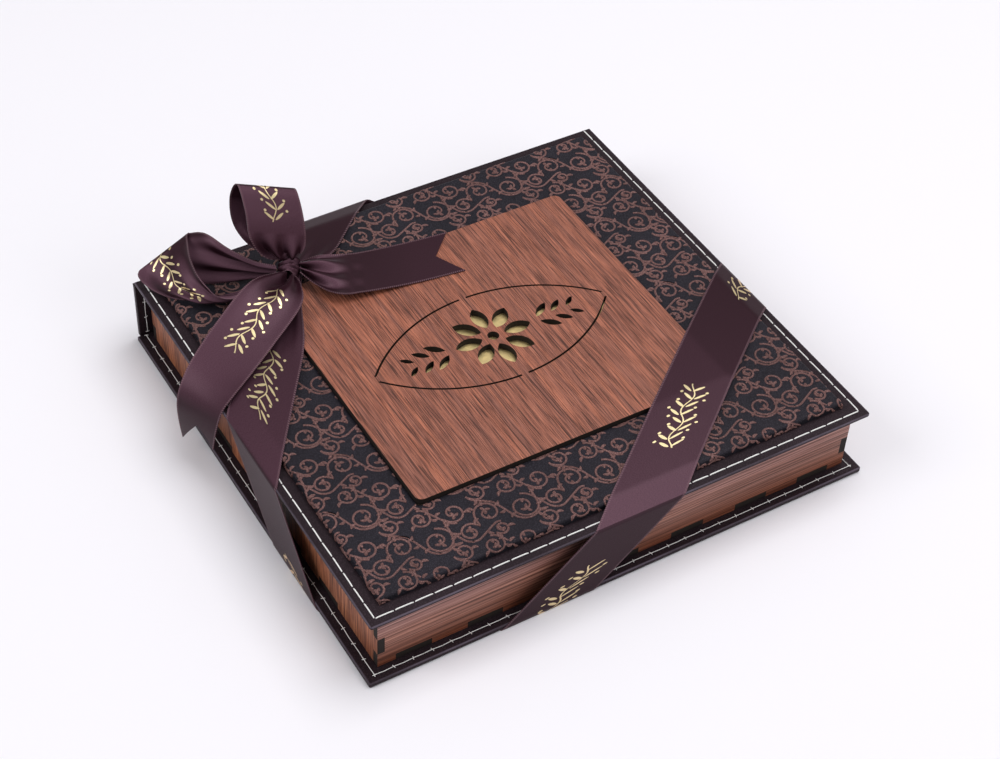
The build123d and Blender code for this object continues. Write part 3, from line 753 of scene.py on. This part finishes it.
def panel_point(across, along, lift=0.0):
    """A point on the panel's leather, from distances measured along the leather, in mm."""
    x, drop_x, turn_x = wrapped(across, PANEL_X)
    y, drop_y, turn_y = wrapped(along, PANEL_Y)
    near_edge = min(PANEL_X - abs(across), PANEL_Y - abs(along))
    soft = noise.noise(Vector((across * 0.045, along * 0.045, 3.0))) * 0.10
    rise = PANEL_HIGH - min(drop_x + drop_y, PANEL_HIGH) + soft * min(max(near_edge - 1, 0) / 6, 1)
    past_plate = max(abs(across) - PLATE_X, abs(along) - PLATE_Y)
    rise -= 0.35 * min(max((1.5 - past_plate) / 1.5, 0), 1) ** 2
    if past_plate < 0.05:
        rise = PANEL_SEAT
    out = Vector((math.sin(turn_x), math.sin(turn_y), max(math.cos(turn_x) * math.cos(turn_y), 0.02)))
    return Vector((x, y, LID_TOP + min(max(rise, 0.0), PANEL_HIGH))) + out.normalized() * lift


def panel_lines(half, plate_half):
    """Where the panel's mesh lines lie: close together at its rounded edge and at the plate's."""
    foot = half - PANEL_ROUND + PANEL_ROUND * math.pi / 2 + 1.8
    run = [foot - p for p in (0.0, 0.6, 1.2, 1.8, 2.15, 2.5, 2.85, 3.2, 3.5, 3.7, 5.0, 7.0)]
    at = foot - 10.0
    while at > plate_half + 2.5:
        run.append(at)
        at -= 4.0
    run += [plate_half + p for p in (1.6, 1.0, 0.5, 0.1, 0.0)] + [plate_half * 0.5]
    return sorted([-r for r in run] + [0.0] + run)


def make_panel():
    """The embossed panel: a padded slab with rounded edges and the plate's seat."""
    columns, rows = panel_lines(PANEL_X, PLATE_X), panel_lines(PANEL_Y, PLATE_Y)
    shape = bmesh.new()
    top = [[shape.verts.new(panel_point(x, y, 0.005) * MM) for x in columns] for y in rows]
    bottom = [[shape.verts.new((spot.co.x, spot.co.y, LID_TOP * MM)) for spot in line] for line in top]
    last_row, last_column = len(rows) - 1, len(columns) - 1
    for j in range(last_row):
        for i in range(last_column):
            shape.faces.new((top[j][i], top[j][i + 1], top[j + 1][i + 1], top[j + 1][i]))
            shape.faces.new((bottom[j][i], bottom[j + 1][i], bottom[j + 1][i + 1], bottom[j][i + 1]))
    rim = [(0, i) for i in range(last_column)] + [(j, last_column) for j in range(last_row)]
    rim += [(last_row, i) for i in range(last_column, 0, -1)] + [(j, 0) for j in range(last_row, 0, -1)]
    for (j, i), (next_j, next_i) in zip(rim, rim[1:] + rim[:1]):
        shape.faces.new((bottom[j][i], bottom[next_j][next_i], top[next_j][next_i], top[j][i]))
    panel = built(shape, "embossed_panel", panel_ground)
    smooth_by_angle(panel, 50)
    hand_over(panel, "panel_leather", "lid", "panel_leather", "panel_pad")


make_panel()


# ---- round lines: scrolls and thread
def round_line(points, kind):
    """A round line through points (x, y, z, half width) in millimetres: NURBS, or straight with POLY."""
    bpy.ops.curve.primitive_nurbs_path_add(radius=1)
    curve = bpy.context.object
    curve.data.splines.clear()
    line = curve.data.splines.new(kind)
    line.points.add(len(points) - 1)
    for spot, (x, y, z, half) in zip(line.points, points):
        spot.co = (x * MM, y * MM, z * MM, 1)
        spot.radius = half
    if kind == "NURBS":
        line.order_u = 3
        line.use_endpoint_u = True
    curve.data.dimensions = "3D"
    curve.data.resolution_u = 2
    curve.data.bevel_depth = MM
    curve.data.bevel_resolution = 1
    curve.data.use_fill_caps = True
    bpy.ops.object.convert(target="MESH")
    return bpy.context.object


# ---- scrolls embossed on the panel
MOTIF_WIDE = 36.0
MOTIF_HIGH = 23.0
VINE = 0.48
RELIEF = 0.50
# one repeat of the pattern: each scroll's middle, radius and the way it winds
SCROLLS = [(7.0, 6.5, 6.0, 1), (19.5, 4.5, 4.6, -1), (29.5, 10.0, 5.5, 1), (18.2, 15.8, 5.1, -1),
           (6.0, 18.6, 4.3, 1), (30.5, 20.8, 4.2, -1), (12.4, 24.2, 3.2, -1)]


def repeated(index, columns=0, rows=0):
    """A scroll of the pattern, in its own repeat or in a neighbouring one."""
    x, y, radius, way = SCROLLS[index]
    return x + MOTIF_WIDE * (columns + rows / 2), y + MOTIF_HIGH * rows, radius, way


def touching(first, second):
    """The angles at which an inner tangent leaves the first scroll and meets the second."""
    x, y = second[0] - first[0], second[1] - first[1]
    lean = math.acos(min((first[2] + second[2]) / math.hypot(x, y), 1))
    leave = math.atan2(y, x) - first[3] * lean
    return leave, leave + math.pi


def leaf(x, y, heading, length, bend):
    """A short plump leaf, from its stem outwards."""
    points = []
    for share, swell in ((0, 0.7), (0.35, 1.45), (0.7, 1.5), (1.0, 0.5)):
        turn = heading + bend * share
        reach = length * share
        points.append((x + reach * math.cos(turn), y + reach * math.sin(turn), 0, VINE * swell))
    return points


def winding(scroll, start, leaves, turns=1.2):
    """The line from a scroll's rim to its bud of three leaves; its leaves are added to the list."""
    x, y, radius, way = scroll
    steps = int(turns * 9.2)
    points = []
    for step in range(steps + 1):
        share = step / steps
        angle = start - way * share * turns * 2 * math.pi
        reach = radius * (1 - 0.70 * share ** 1.15)
        half = VINE * (1 - 0.1 * share)
        points.append((x + reach * math.cos(angle), y + reach * math.sin(angle), 0, half))
    (from_x, from_y, *_), (tip_x, tip_y, *_) = points[-2:]
    ahead = math.atan2(tip_y - from_y, tip_x - from_x)
    for turn, length, bend in ((1.25, 0.33, 0.5), (-0.15, 0.44, -0.5), (-1.5, 0.37, -0.7)):
        leaves.append(leaf(tip_x, tip_y, ahead + turn * way, radius * length, bend * way))
    for index, base, turn, length, bend in ((1, 0, -1.0, 2.7, 1.1), (4, 0, -1.0, 2.7, 1.1),
                                            (7, math.pi, 0.9, 1.9, -0.8)):
        spot = points[index]
        outwards = math.atan2(spot[1] - y, spot[0] - x)
        leaves.append(leaf(spot[0], spot[1], outwards + base + turn * way, length, bend * way))
    return points


def make_motif():
    """One repeat of the pattern: pairs of scrolls on one stem, ties between them, and leaves."""
    strokes = []
    for first, second in ((0, 3), (2, 1), (4, 6)):
        first, second = repeated(first), repeated(second)
        leave, meet = touching(first, second)
        strokes.append(winding(first, leave, strokes)[::-1] + winding(second, meet, strokes))
    strokes.append(winding(repeated(5), math.radians(200), strokes))
    for first, second, way in ((repeated(0), repeated(1), -1), (repeated(3), repeated(4), -1),
                               (repeated(2), repeated(5), 1), (repeated(5), repeated(0, 0, 1), 1),
                               (repeated(2), repeated(0, 1), -1), (repeated(6), repeated(1, -1, 1), 1)):
        leave, meet = touching((*first[:3], way), second)
        tie = []
        for (x, y, radius, _), start, turns in ((first, leave, range(4, -1, -1)), (second, meet, range(5))):
            for step in turns:
                angle = start - way * 0.225 * step
                tie.append((x + radius * math.cos(angle), y + radius * math.sin(angle), 0, VINE * 0.95))
        strokes.append(tie)
        (from_x, from_y, *_), (to_x, to_y, *_) = tie[4:6]
        heading = math.atan2(to_y - from_y, to_x - from_x)
        strokes.append(leaf((from_x + to_x) / 2, (from_y + to_y) / 2, heading + 0.9 * way, 2.6, 0.8 * way))
    return join([round_line(points, "NURBS") for points in strokes])


def make_scrolls():
    """The motif repeated over the panel, cut clear of the plate and wrapped down the padded edges."""
    motif = make_motif()
    wide, high = MOTIF_WIDE, MOTIF_HIGH
    first_x, first_y, reach = -6, 4, 6
    copies = []
    for row in range(-5, 5):
        for column in range(-4, 4):
            x = column * wide + (wide / 2 if row % 2 else 0) + first_x
            y = row * high + first_y
            hidden = -PLATE_X + 4 < x < PLATE_X - wide - 1 and -PLATE_Y + 4 < y < PLATE_Y - high - 4
            outside = (x > PANEL_X + reach or x + wide < -PANEL_X - reach
                       or y > PANEL_Y + reach or y + high < -PANEL_Y - reach)
            if not hidden and not outside:
                copies.append(copy_of(motif, Matrix.Translation(Vector((x, y, 0)) * MM)))
    bpy.data.objects.remove(motif)
    relief = join(copies)
    alone(relief)
    bpy.ops.object.transform_apply(location=True, rotation=True, scale=True)
    begin_edit()
    down = PANEL_ROUND * (math.pi / 2 - 1) + 1.5
    for x, y in ((1, 0), (-1, 0), (0, 1), (0, -1)):
        cut_all((x * (PANEL_X + down), y * (PANEL_Y + down), 0), (x, y, 0), clear_outer=True, use_fill=True)
    bpy.ops.object.mode_set(mode="OBJECT")
    carve(relief, (-PLATE_X - 0.5, -PLATE_Y - 0.5, -5), (PLATE_X + 0.5, PLATE_Y + 0.5, 5), "FAST")
    for vertex in relief.data.vertices:
        x, y, z = vertex.co / MM
        vertex.co = panel_point(x, y, RELIEF * math.tanh(z * 1.25 / RELIEF) - 0.05) * MM
    settle(relief, "scroll_relief", panel_copper)
    smooth_by_angle(relief, 60)
    hand_over(relief, "panel_leather", "lid")


make_scrolls()


# ================================================================ stitching
def make_stitch():
    """One stitch along X: a plump thread whose ends dive into the leather."""
    bpy.ops.mesh.primitive_cylinder_add(vertices=8, radius=THREAD * MM, depth=STITCH_LONG * MM,
                                        rotation=(0, math.radians(90), 0))
    stitch = bpy.context.object
    bpy.ops.object.transform_apply(location=True, rotation=True, scale=True)
    begin_edit()
    pick(stitch, "EDGE", lambda edge: abs(edge.verts[0].co.x - edge.verts[1].co.x) > MM)
    bpy.ops.mesh.subdivide(number_cuts=9)
    bpy.ops.object.mode_set(mode="OBJECT")
    for vertex in stitch.data.vertices:
        end_share = (abs(vertex.co.x) / (STITCH_LONG / 2 * MM)) ** 8
        narrow = 1 - 0.22 * end_share
        vertex.co.y *= narrow
        vertex.co.z = vertex.co.z * narrow * 0.9 - 0.20 * MM * end_share
    return stitch


def run_of_stitches(stitch, start, end):
    """Stitches on the lid from start to end, in millimetres, evenly shared out."""
    start, end = Vector((*start, LID_TOP)), Vector((*end, LID_TOP))
    run = end - start
    count = max(round(run.length / STITCH_PITCH), 1)
    turn = Matrix.Rotation(math.atan2(run.y, run.x), 4, "Z")
    made = []
    for index in range(count):
        centre = start + run * ((index + 0.5) / count)
        sway = Matrix.Rotation(chance.uniform(-0.018, 0.018), 4, "Z")
        size = Matrix.Diagonal((run.length / count / STITCH_PITCH * chance.uniform(0.98, 1.02), 1, 1, 1))
        place = Matrix.Translation((centre + Vector((0, 0, 0.12))) * MM)
        made.append(copy_of(stitch, place @ turn @ sway @ size))
    return made


def make_lid_stitches():
    stitch = make_stitch()
    x, front = COVER_X - STITCH_INSET, FRONT_Y + STITCH_INSET
    made = run_of_stitches(stitch, (-x, front), (x, front))
    made += run_of_stitches(stitch, (-x, front), (-x, FOLD_Y))
    made += run_of_stitches(stitch, (x, front), (x, FOLD_Y))
    bpy.data.objects.remove(stitch)
    stitches = settle(join(made), "lid_stitches", thread)
    smooth_by_angle(stitches, 50)
    hand_over(stitches, "liner_paper", "lid")


def wandering(start, end, lift):
    """Points of a taut thread that is held down at each stitch hole."""
    run = end - start
    side = run.normalized().cross(lift)
    count = max(round(run.length / (STITCH_PITCH / 2)), 2)
    points = []
    for index in range(count + 1):
        raised = 0.0 if index % 2 else 0.12
        points.append(start + run * (index / count) + lift * raised + side * chance.uniform(-0.12, 0.12))
    return points


def thread_line(points, half):
    return round_line([(*point, half) for point in points], "POLY")


def locks(start, end, lift):
    """The small crossed lock of the seam's back at every stitch hole."""
    run = end - start
    side = run.normalized().cross(lift) * 0.75
    count = max(round(run.length / STITCH_PITCH), 1)
    made = []
    for index in range(count + 1):
        centre = start + run * (index / count) + lift * 0.08
        tilt = run.normalized() * chance.uniform(-0.3, 0.3)
        made.append(thread_line([centre - side - tilt, centre + lift * 0.15, centre + side + tilt], 0.17))
    return made


def make_seam(name, body, lift, runs):
    """The back of a seam along runs from point to point: a thin thread with a small lock at each hole."""
    made = []
    for start, end in runs:
        start, end = Vector(start), Vector(end)
        made.append(thread_line(wandering(start, end, Vector(lift)), SEAM_THREAD))
        made += locks(start, end, Vector(lift))
    hand_over(settle(join(made), name, thread), "liner_paper", body)


def make_seam_backs():
    x, z = COVER_X - STITCH_INSET, BASE_TOP + 0.1
    left, front, back = -x - 1.0, FRONT_Y + STITCH_INSET - 1.6, FOLD_Y - 1
    base_runs = [((left, front, z), (x, front, z)), ((left, front, z), (left, back, z)),
                 ((x, front, z), (x, back, z))]
    make_seam("base_seam", "base", (0, 0, 1), base_runs)
    y, low, high = FOLD_Y - 0.1, BASE_TOP + 1.5, LID_Z - 1.5
    make_seam("spine_seam", "spine", (0, -1, 0), [((side, y, low), (side, y, high)) for side in (-x, x)])


make_lid_stitches()
make_seam_backs()


# ================================================================ ribbon
def roof(x, y):
    """Height of a tight ribbon's underside over the lid at a point, mm."""
    over_panel, over_plate = 35.6, 37.8

    def rise(at, edge, panel, plate):
        at = abs(at)
        if at >= panel:
            return LID_TOP + (over_panel - LID_TOP) * (edge - at) / (edge - panel)
        if at >= plate:
            return over_panel + (over_plate - over_panel) * (panel - at) / (panel - plate)
        return over_plate
    return max(min(rise(x, COVER_X, PANEL_X - 1, PLATE_X), rise(y, BACK_Y, PANEL_Y - 1, PLATE_Y)), LID_TOP)


def catmull(before, start, end, after, part_way):
    bend = 2 * before - 5 * start + 4 * end - after
    twist = 3 * start - before - 3 * end + after
    return start + ((end - before) * part_way + bend * part_way ** 2 + twist * part_way ** 3) / 2


def softly(share):
    share = min(max(share, 0.0), 1.0)
    return share * share * (3 - 2 * share)


class Strip:
    """A ribbon's surface: at(along, across) gives a point, along in mm and across from -1 to 1.

    fold(along, across, open share) is set later: the height of the gathers where it is drawn together.
    """

    def __init__(self):
        self.rows = []
        self.fold = None

    def station(self, centre, half, normal, share=1.0, top=False):
        """One crossing: its middle, the way to its left edge, the way it faces and its open share."""
        along = 0.0
        if self.rows:
            along = self.rows[-1][0] + (centre - self.rows[-1][1]).length
        if not self.rows or along - self.rows[-1][0] >= 0.001:
            self.rows.append((along, centre, half, normal, share, top))

    @property
    def length(self):
        return self.rows[-1][0]

    def at(self, along, across):
        along = min(max(along, 0.0), self.length)
        after = min(bisect_right(self.rows, along, key=lambda row: row[0]), len(self.rows) - 1)
        a, b = self.rows[after - 1:after + 1]
        share = (along - a[0]) / (b[0] - a[0])
        point = a[1].lerp(b[1], share) + a[2].lerp(b[2], share) * across
        raised = self.fold(along, across, a[4] + (b[4] - a[4]) * share)
        if a[5] and b[5]:
            point.z = roof(point.x, point.y) + RIBBON / 2 + raised
            return point
        return point + a[3].lerp(b[3], share).normalized() * raised


def gathers(across, share, waves, turn):
    """Pleats that take up the width that a drawn-in ribbon no longer spans."""
    depth = HALF_RIBBON * math.sqrt(max(1 - share * share, 0.0))
    rate = 2 * math.pi * waves
    return depth * math.sin(rate * across + turn) / (rate * 0.707)


def cloth_of(name, grid, degrees, closed=False, print_side=None):
    """Satin through a grid of (point in mm, its spot on the ribbon), with print on one side or on both."""
    shape = bmesh.new()
    ribbon_map = shape.loops.layers.uv.new("Ribbon")
    rows = [[(shape.verts.new(point * MM), spot) for point, spot in line] for line in grid]
    if closed:
        rows.append(rows[0])
    for low, high in zip(rows, rows[1:]):
        for column in range(len(low) - 1):
            corners = (low[column], low[column + 1], high[column + 1], high[column])
            face = shape.faces.new([vertex for vertex, _ in corners])
            for loop, (_, spot) in zip(face.loops, corners):
                loop[ribbon_map].uv = spot
    if closed:
        bmesh.ops.recalc_face_normals(shape, faces=shape.faces)
    one_side = len(shape.faces)
    cloth = built(shape, name, satin)
    modify(cloth, "SOLIDIFY", thickness=RIBBON * MM, offset=0)
    ribbon_map = cloth.data.uv_layers["Ribbon"]
    for face in cloth.data.polygons:
        if print_side is not None and face.index // one_side != print_side:
            for loop in face.loop_indices:
                ribbon_map.data[loop].uv.y += 2.0
    smooth_by_angle(cloth, degrees)
    return cloth


def cut_cloth(name, strip, step, columns, notched, print_from, print_side):
    """Cloth on a strip's surface, with a notched end where asked, and gold print on one side."""
    count = max(round(strip.length / step), 2)
    grid = []
    for row in range(count + 1):
        along = strip.length * row / count
        line = []
        for column in range(columns + 1):
            across = -1 + 2 * column / columns
            near_end = softly((along - (strip.length - NOTCH_REACH)) / NOTCH_REACH)
            back = NOTCH * (1 - abs(across)) * near_end if notched else 0.0
            spot = ((along - back + print_from) / (2 * HALF_RIBBON), (across + 1) / 2)
            line.append((strip.at(along - back, across), spot))
        grid.append(line)
    return cloth_of(name, grid, 50, print_side=print_side)


def go_with_ribbon(piece, cad_node):
    hand_over(piece, "satin", "ribbon", cad_node)
    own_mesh(piece)


# ---- the band round the box: each face that it crosses, and where it leaves it over an edge
UP, FRONT, BACK, LEFT, RIGHT = ((0, 0, 1), (0, -1, 0), (0, 1, 0), (-1, 0, 0), (1, 0, 0))
DOWN = (0, 0, -1)
OFF_BASE = 0.15
ROUTE = [
    (UP, (-COVER_X, -8.0, LID_TOP)),
    (LEFT, (BASE_LEFT - OFF_BASE, -46.0, BASE_Z)),
    (DOWN, (-36.2, BASE_FRONT - OFF_BASE, BASE_Z)),
    (FRONT, (2.8, FRONT_Y, LID_TOP)),
    (UP, (COVER_X, -18.1, LID_TOP)),
    (RIGHT, (BASE_RIGHT + OFF_BASE, 7.4, BASE_Z)),
    (DOWN, (20, BACK_Y, BASE_Z)),
    (BACK, (-20, BACK_Y, LID_TOP)),
    (UP, (KNOT.x, KNOT.y, LID_TOP)),
]


def half_across(corner, face, run):
    """From the middle of the ribbon to its left edge, measured along the box's edge."""
    edge = Vector((0, 1, 0) if abs(corner.x) >= COVER_X else (1, 0, 0))
    left = Vector(face).cross(run.normalized())
    return edge * (HALF_RIBBON / edge.dot(left))


def make_band_strip():
    """The band from the knot over eight edges of the box and back to the knot."""
    strip = Strip()
    faces = [face for face, _ in ROUTE]
    spots = [Vector(spot) for _, spot in ROUTE]
    spots = [spots[-1], *spots]
    halves = [None]
    for index in range(1, len(ROUTE)):
        before, here, after = spots[index - 1:index + 2]
        halves.append((half_across(here, faces[index - 1], here - before)
                       + half_across(here, faces[index], after - here)) / 2)
    halves.append(None)
    for index, face in enumerate(faces):
        normal = Vector(face)
        first, last = spots[index:index + 2]
        run = last - first
        ahead = run.normalized()
        left = normal.cross(ahead)
        start_half, end_half = halves[index:index + 2]
        count = max(int(run.length / 1.5), 8)
        for step in range(count + 1):
            share = step / count
            if start_half is None or end_half is None:
                from_knot = share if start_half is None else 1 - share
                edge_half = end_half if start_half is None else start_half
                slip = edge_half.dot(ahead) * softly((from_knot - 0.35) / 0.65)
                lie = 0.42 + 0.58 * softly(from_knot / 0.5)
                half = left * (HALF_RIBBON * lie) + ahead * slip
            else:
                half = start_half.lerp(end_half, share)
                lie = 1.0
            strip.station(first.lerp(last, share) + normal * RIBBON / 2, half, normal, lie, face == UP)
    return strip


def make_band():
    """One closed loop, gathered and raised a little where it passes under the knot."""
    strip = make_band_strip()

    def fold(along, across, share):
        near = min(along, strip.length - along)
        lift = gathers(across, share, 1.4, 0.9) * 0.45
        return max(lift + 0.6 * (1 - share), 0.0) + 1.6 * (1 - softly(near / 9))

    strip.fold = fold
    band = cut_cloth("satin_band", strip, step=1.6, columns=24, notched=False, print_from=-14.5,
                     print_side=1)
    go_with_ribbon(band, "ribbon_band")


make_band()


# ---- the bow: each route has a point from the knot, the way across and the open share
UPRIGHT = [
    ((0.6, 1.6, 4.6), (0.90, -0.43, -0.05), 0.20),
    ((-2.3, 1.4, 6.4), (0.92, -0.34, -0.16), 0.62),
    ((-3.5, 2.2, 14.0), (0.93, -0.18, -0.32), 0.97),
    ((-3.1, 5.4, 25.4), (0.93, -0.16, -0.33), 1.0),
    ((-3.4, 11.2, 35.0), (0.93, -0.16, -0.33), 1.0),
    ((-4.4, 16.8, 25.2), (0.93, -0.16, -0.33), 1.0),
    ((-4.6, 15.2, 13.4), (0.93, -0.18, -0.32), 1.0),
    ((-3.6, 10.6, 6.0), (0.93, -0.26, -0.24), 0.74),
    ((-0.8, 5.2, 3.8), (0.92, -0.38, 0.10), 0.22),
]
LEFT_LOOP = [
    ((-5.2, 1.7, -0.6), (0.00, 0.10, -1.00), 0.18),
    ((-13.0, 5.5, 0.0), (0.00, 0.10, -0.99), 0.36),
    ((-22.0, 11.0, 1.4), (-0.20, -0.14, -0.97), 0.60),
    ((-30.0, 17.6, 2.4), (-0.50, -0.20, -0.84), 0.84),
    ((-37.0, 24.4, 2.7), (-0.81, -0.14, -0.57), 0.97),
    ((-41.0, 28.6, 2.7), (-0.91, -0.06, -0.40), 1.0),
    ((-42.3, 28.8, 3.0), (-0.91, -0.04, -0.42), 1.0),
    ((-43.6, 26.4, 2.2), (-0.87, 0.08, -0.49), 1.0),
    ((-44.4, 20.4, 0.7), (-0.70, 0.34, -0.63), 0.97),
    ((-43.8, 13.4, -0.9), (-0.58, 0.53, -0.62), 0.92),
    ((-41.4, 6.4, -1.6), (-0.62, 0.56, -0.54), 0.72),
    ((-36.2, 0.2, -2.5), (-0.58, 0.66, -0.46), 0.50),
    ((-25.0, -3.8, -2.2), (-0.10, 0.80, -0.58), 0.32),
    ((-6.5, -2.9, -1.2), (0.10, 0.60, -0.80), 0.18),
]
RIGHT_TAIL = [
    ((3.7, -2.7, 0.5), (-0.30, -0.80, -0.52), 0.20),
    ((8.0, -7.5, 0.8), (-0.40, -0.82, -0.38), 0.55),
    ((15.2, -13.0, 0.0), (-0.43, -0.90, -0.04), 0.95),
    ((25.7, -14.5, -2.0), (-0.38, -0.92, 0.02), 1.0),
    ((45.2, -16.3, -4.1), (-0.27, -0.96, 0.00), 1.0),
    ((66.9, -18.8, -4.4), (-0.19, -0.98, 0.00), 1.0),
]
LEFT_TAIL = [
    ((-2.6, -6.4, 2.2), (0.30, -0.95, 0.00), 0.22),
    ((-5.6, -10.5, 4.0), (0.43, -0.89, -0.10), 0.52),
    ((-14.8, -17.1, 5.0), (0.62, -0.76, -0.20), 0.92),
    ((-32.8, -27.4, 0.6), (0.58, -0.81, -0.10), 1.0),
    ((-47.6, -36.0, -3.9), (0.58, -0.81, 0.02), 1.0),
    ((-55.6, -40.6, -8.0), (0.54, -0.81, 0.20), 1.0),
    ((-60.2, -42.6, -13.4), (0.40, -0.84, 0.34), 1.0),
    ((-62.3, -43.8, -21.7), (0.26, -0.88, 0.40), 1.0),
    ((-63.2, -45.0, -30.4), (0.14, -0.88, 0.45), 1.0),
]


def route_strip(route, fold, steps=12):
    """A strip along given stations, with its gathers."""
    rows = [[*spot, *across, share] for spot, across, share in route]
    rows = [rows[0], *rows, rows[-1]]
    dense = []
    for span in range(len(route) - 1):
        for step in range(steps):
            dense.append([catmull(*values, step / steps) for values in zip(*rows[span:span + 4])])
    dense.append(rows[-1])
    strip = Strip()
    for index, row in enumerate(dense):
        before = Vector(dense[max(index - 1, 0)][:3])
        after = Vector(dense[min(index + 1, len(dense) - 1)][:3])
        across = Vector(row[3:6]).normalized()
        run = after - before
        run = (run - across * run.dot(across)).normalized()
        half = across * HALF_RIBBON * row[6]
        strip.station(KNOT + Vector(row[:3]), half, run.cross(across), min(row[6], 1.0))
    strip.fold = fold
    return strip


def pleated(waves, turn, depth):
    return lambda along, across, share: gathers(across, share, waves, turn) * depth


def left_tail_fold(along, across, share):
    """A spoon-shaped valley beside the knot, and small gathers with it."""
    hollow = math.exp(-((across + 0.35) / 0.42) ** 2) * (1 - softly((along - 4) / 20))
    return gathers(across, share, 1.1, 0.2) * 0.35 - 3.4 * hollow


# each piece, its CAD node, its route and gathers, whether its end is notched, where its print starts, and on
# which side
BOW = [
    ("satin_loop_upright", "bow_loop_upright", UPRIGHT, pleated(1.3, 0.4, 0.8), False, 9.0, 0),
    ("satin_loop_left", "bow_loop_left", LEFT_LOOP, pleated(1.2, 1.1, 0.6), False, -14.5, 0),
    ("satin_tail_right", "ribbon_tail_right", RIGHT_TAIL, pleated(1.3, 2.4, 0.9), True, 0.0, 1),
    ("satin_tail_left", "ribbon_tail_left", LEFT_TAIL, left_tail_fold, True, 16.5, 1),
]


def make_bow():
    for name, cad_node, route, fold, notched, print_from, print_side in BOW:
        strip = route_strip(route, fold)
        cloth = cut_cloth(name, strip, step=0.8, columns=32, notched=notched, print_from=print_from,
                          print_side=print_side)
        go_with_ribbon(cloth, cad_node)


def make_knot():
    """Ribbon wound once round the middle of the bow, its width drawn in to fine gathers."""
    axis = Vector((0.5, 0.85, 0.15)).normalized()
    side = Vector((-0.85, 0.5, 0)).normalized()
    up = side.cross(axis)
    up = up if up.z > 0 else -up
    around, across = 72, 44
    half_long, thick, thinner = 4.8, 3.75, 1.25
    grid = []
    for row in range(around):
        angle = 2 * math.pi * row / around
        line = []
        for column in range(across + 1):
            share = -1 + 2 * column / across
            turn = share + 0.10 * math.sin(angle + 0.4)
            pleat = 0.85 * math.sin(2 * math.pi * 2.1 * turn + 0.8 * math.sin(2 * angle))
            pleat += 0.30 * math.sin(2 * math.pi * 5.3 * turn + 1.7)
            radius = thick - thinner * share ** 2 + pleat * (0.75 + 0.25 * math.sin(angle * 3 + 1))
            out = side * math.cos(angle) + up * math.sin(angle)
            point = KNOT + axis * (share * half_long + 0.5 * math.sin(angle)) + out * radius
            line.append((point, (row / around * 0.95, column / across)))
        grid.append(line)
    knot = cloth_of("satin_knot", grid, 60, closed=True)
    go_with_ribbon(knot, "ribbon_knot")


make_bow()
make_knot()


# ================================================================ floor and light
def make_floor():
    bpy.ops.mesh.primitive_plane_add(size=6, location=(0, 0, -0.00005))
    floor = bpy.context.object
    floor.name = "floor"
    finish = Finish("floor_white")
    finish.set(Base_Color=(0.90, 0.88, 0.93, 1), Roughness=0.7, Specular_IOR_Level=0.2)
    floor.data.materials.append(finish.material)


def make_light():
    world = bpy.data.worlds.new("studio")
    scene.world = world
    world.use_nodes = True
    background = world.node_tree.nodes["Background"]
    background.inputs["Color"].default_value = (1, 1, 1, 1)
    background.inputs["Strength"].default_value = 0.41
    for name, place, target, size, power in (
        ("overhead_softbox", (0.55, 0.0, 1.5), (0, 0, 0), (1.15, 1.15), 14.0),
        ("front_softbox", (0.7, -1.5, 1.1), (0, 0, 0), (1.2, 0.8), 5.5),
        ("side_softbox", (-1.3, 0.2, 1.1), (0, 0, 0.02), (0.9, 0.9), 9.0),
    ):
        bpy.ops.object.light_add(type="AREA", location=place)
        lamp = bpy.context.object
        lamp.name = name
        lamp.data.shape = "RECTANGLE"
        lamp.data.size, lamp.data.size_y = size
        lamp.data.energy = power
        aim = Vector(target) - Vector(place)
        lamp.rotation_euler = aim.to_track_quat("-Z", "Y").to_euler()


make_floor()
make_light()
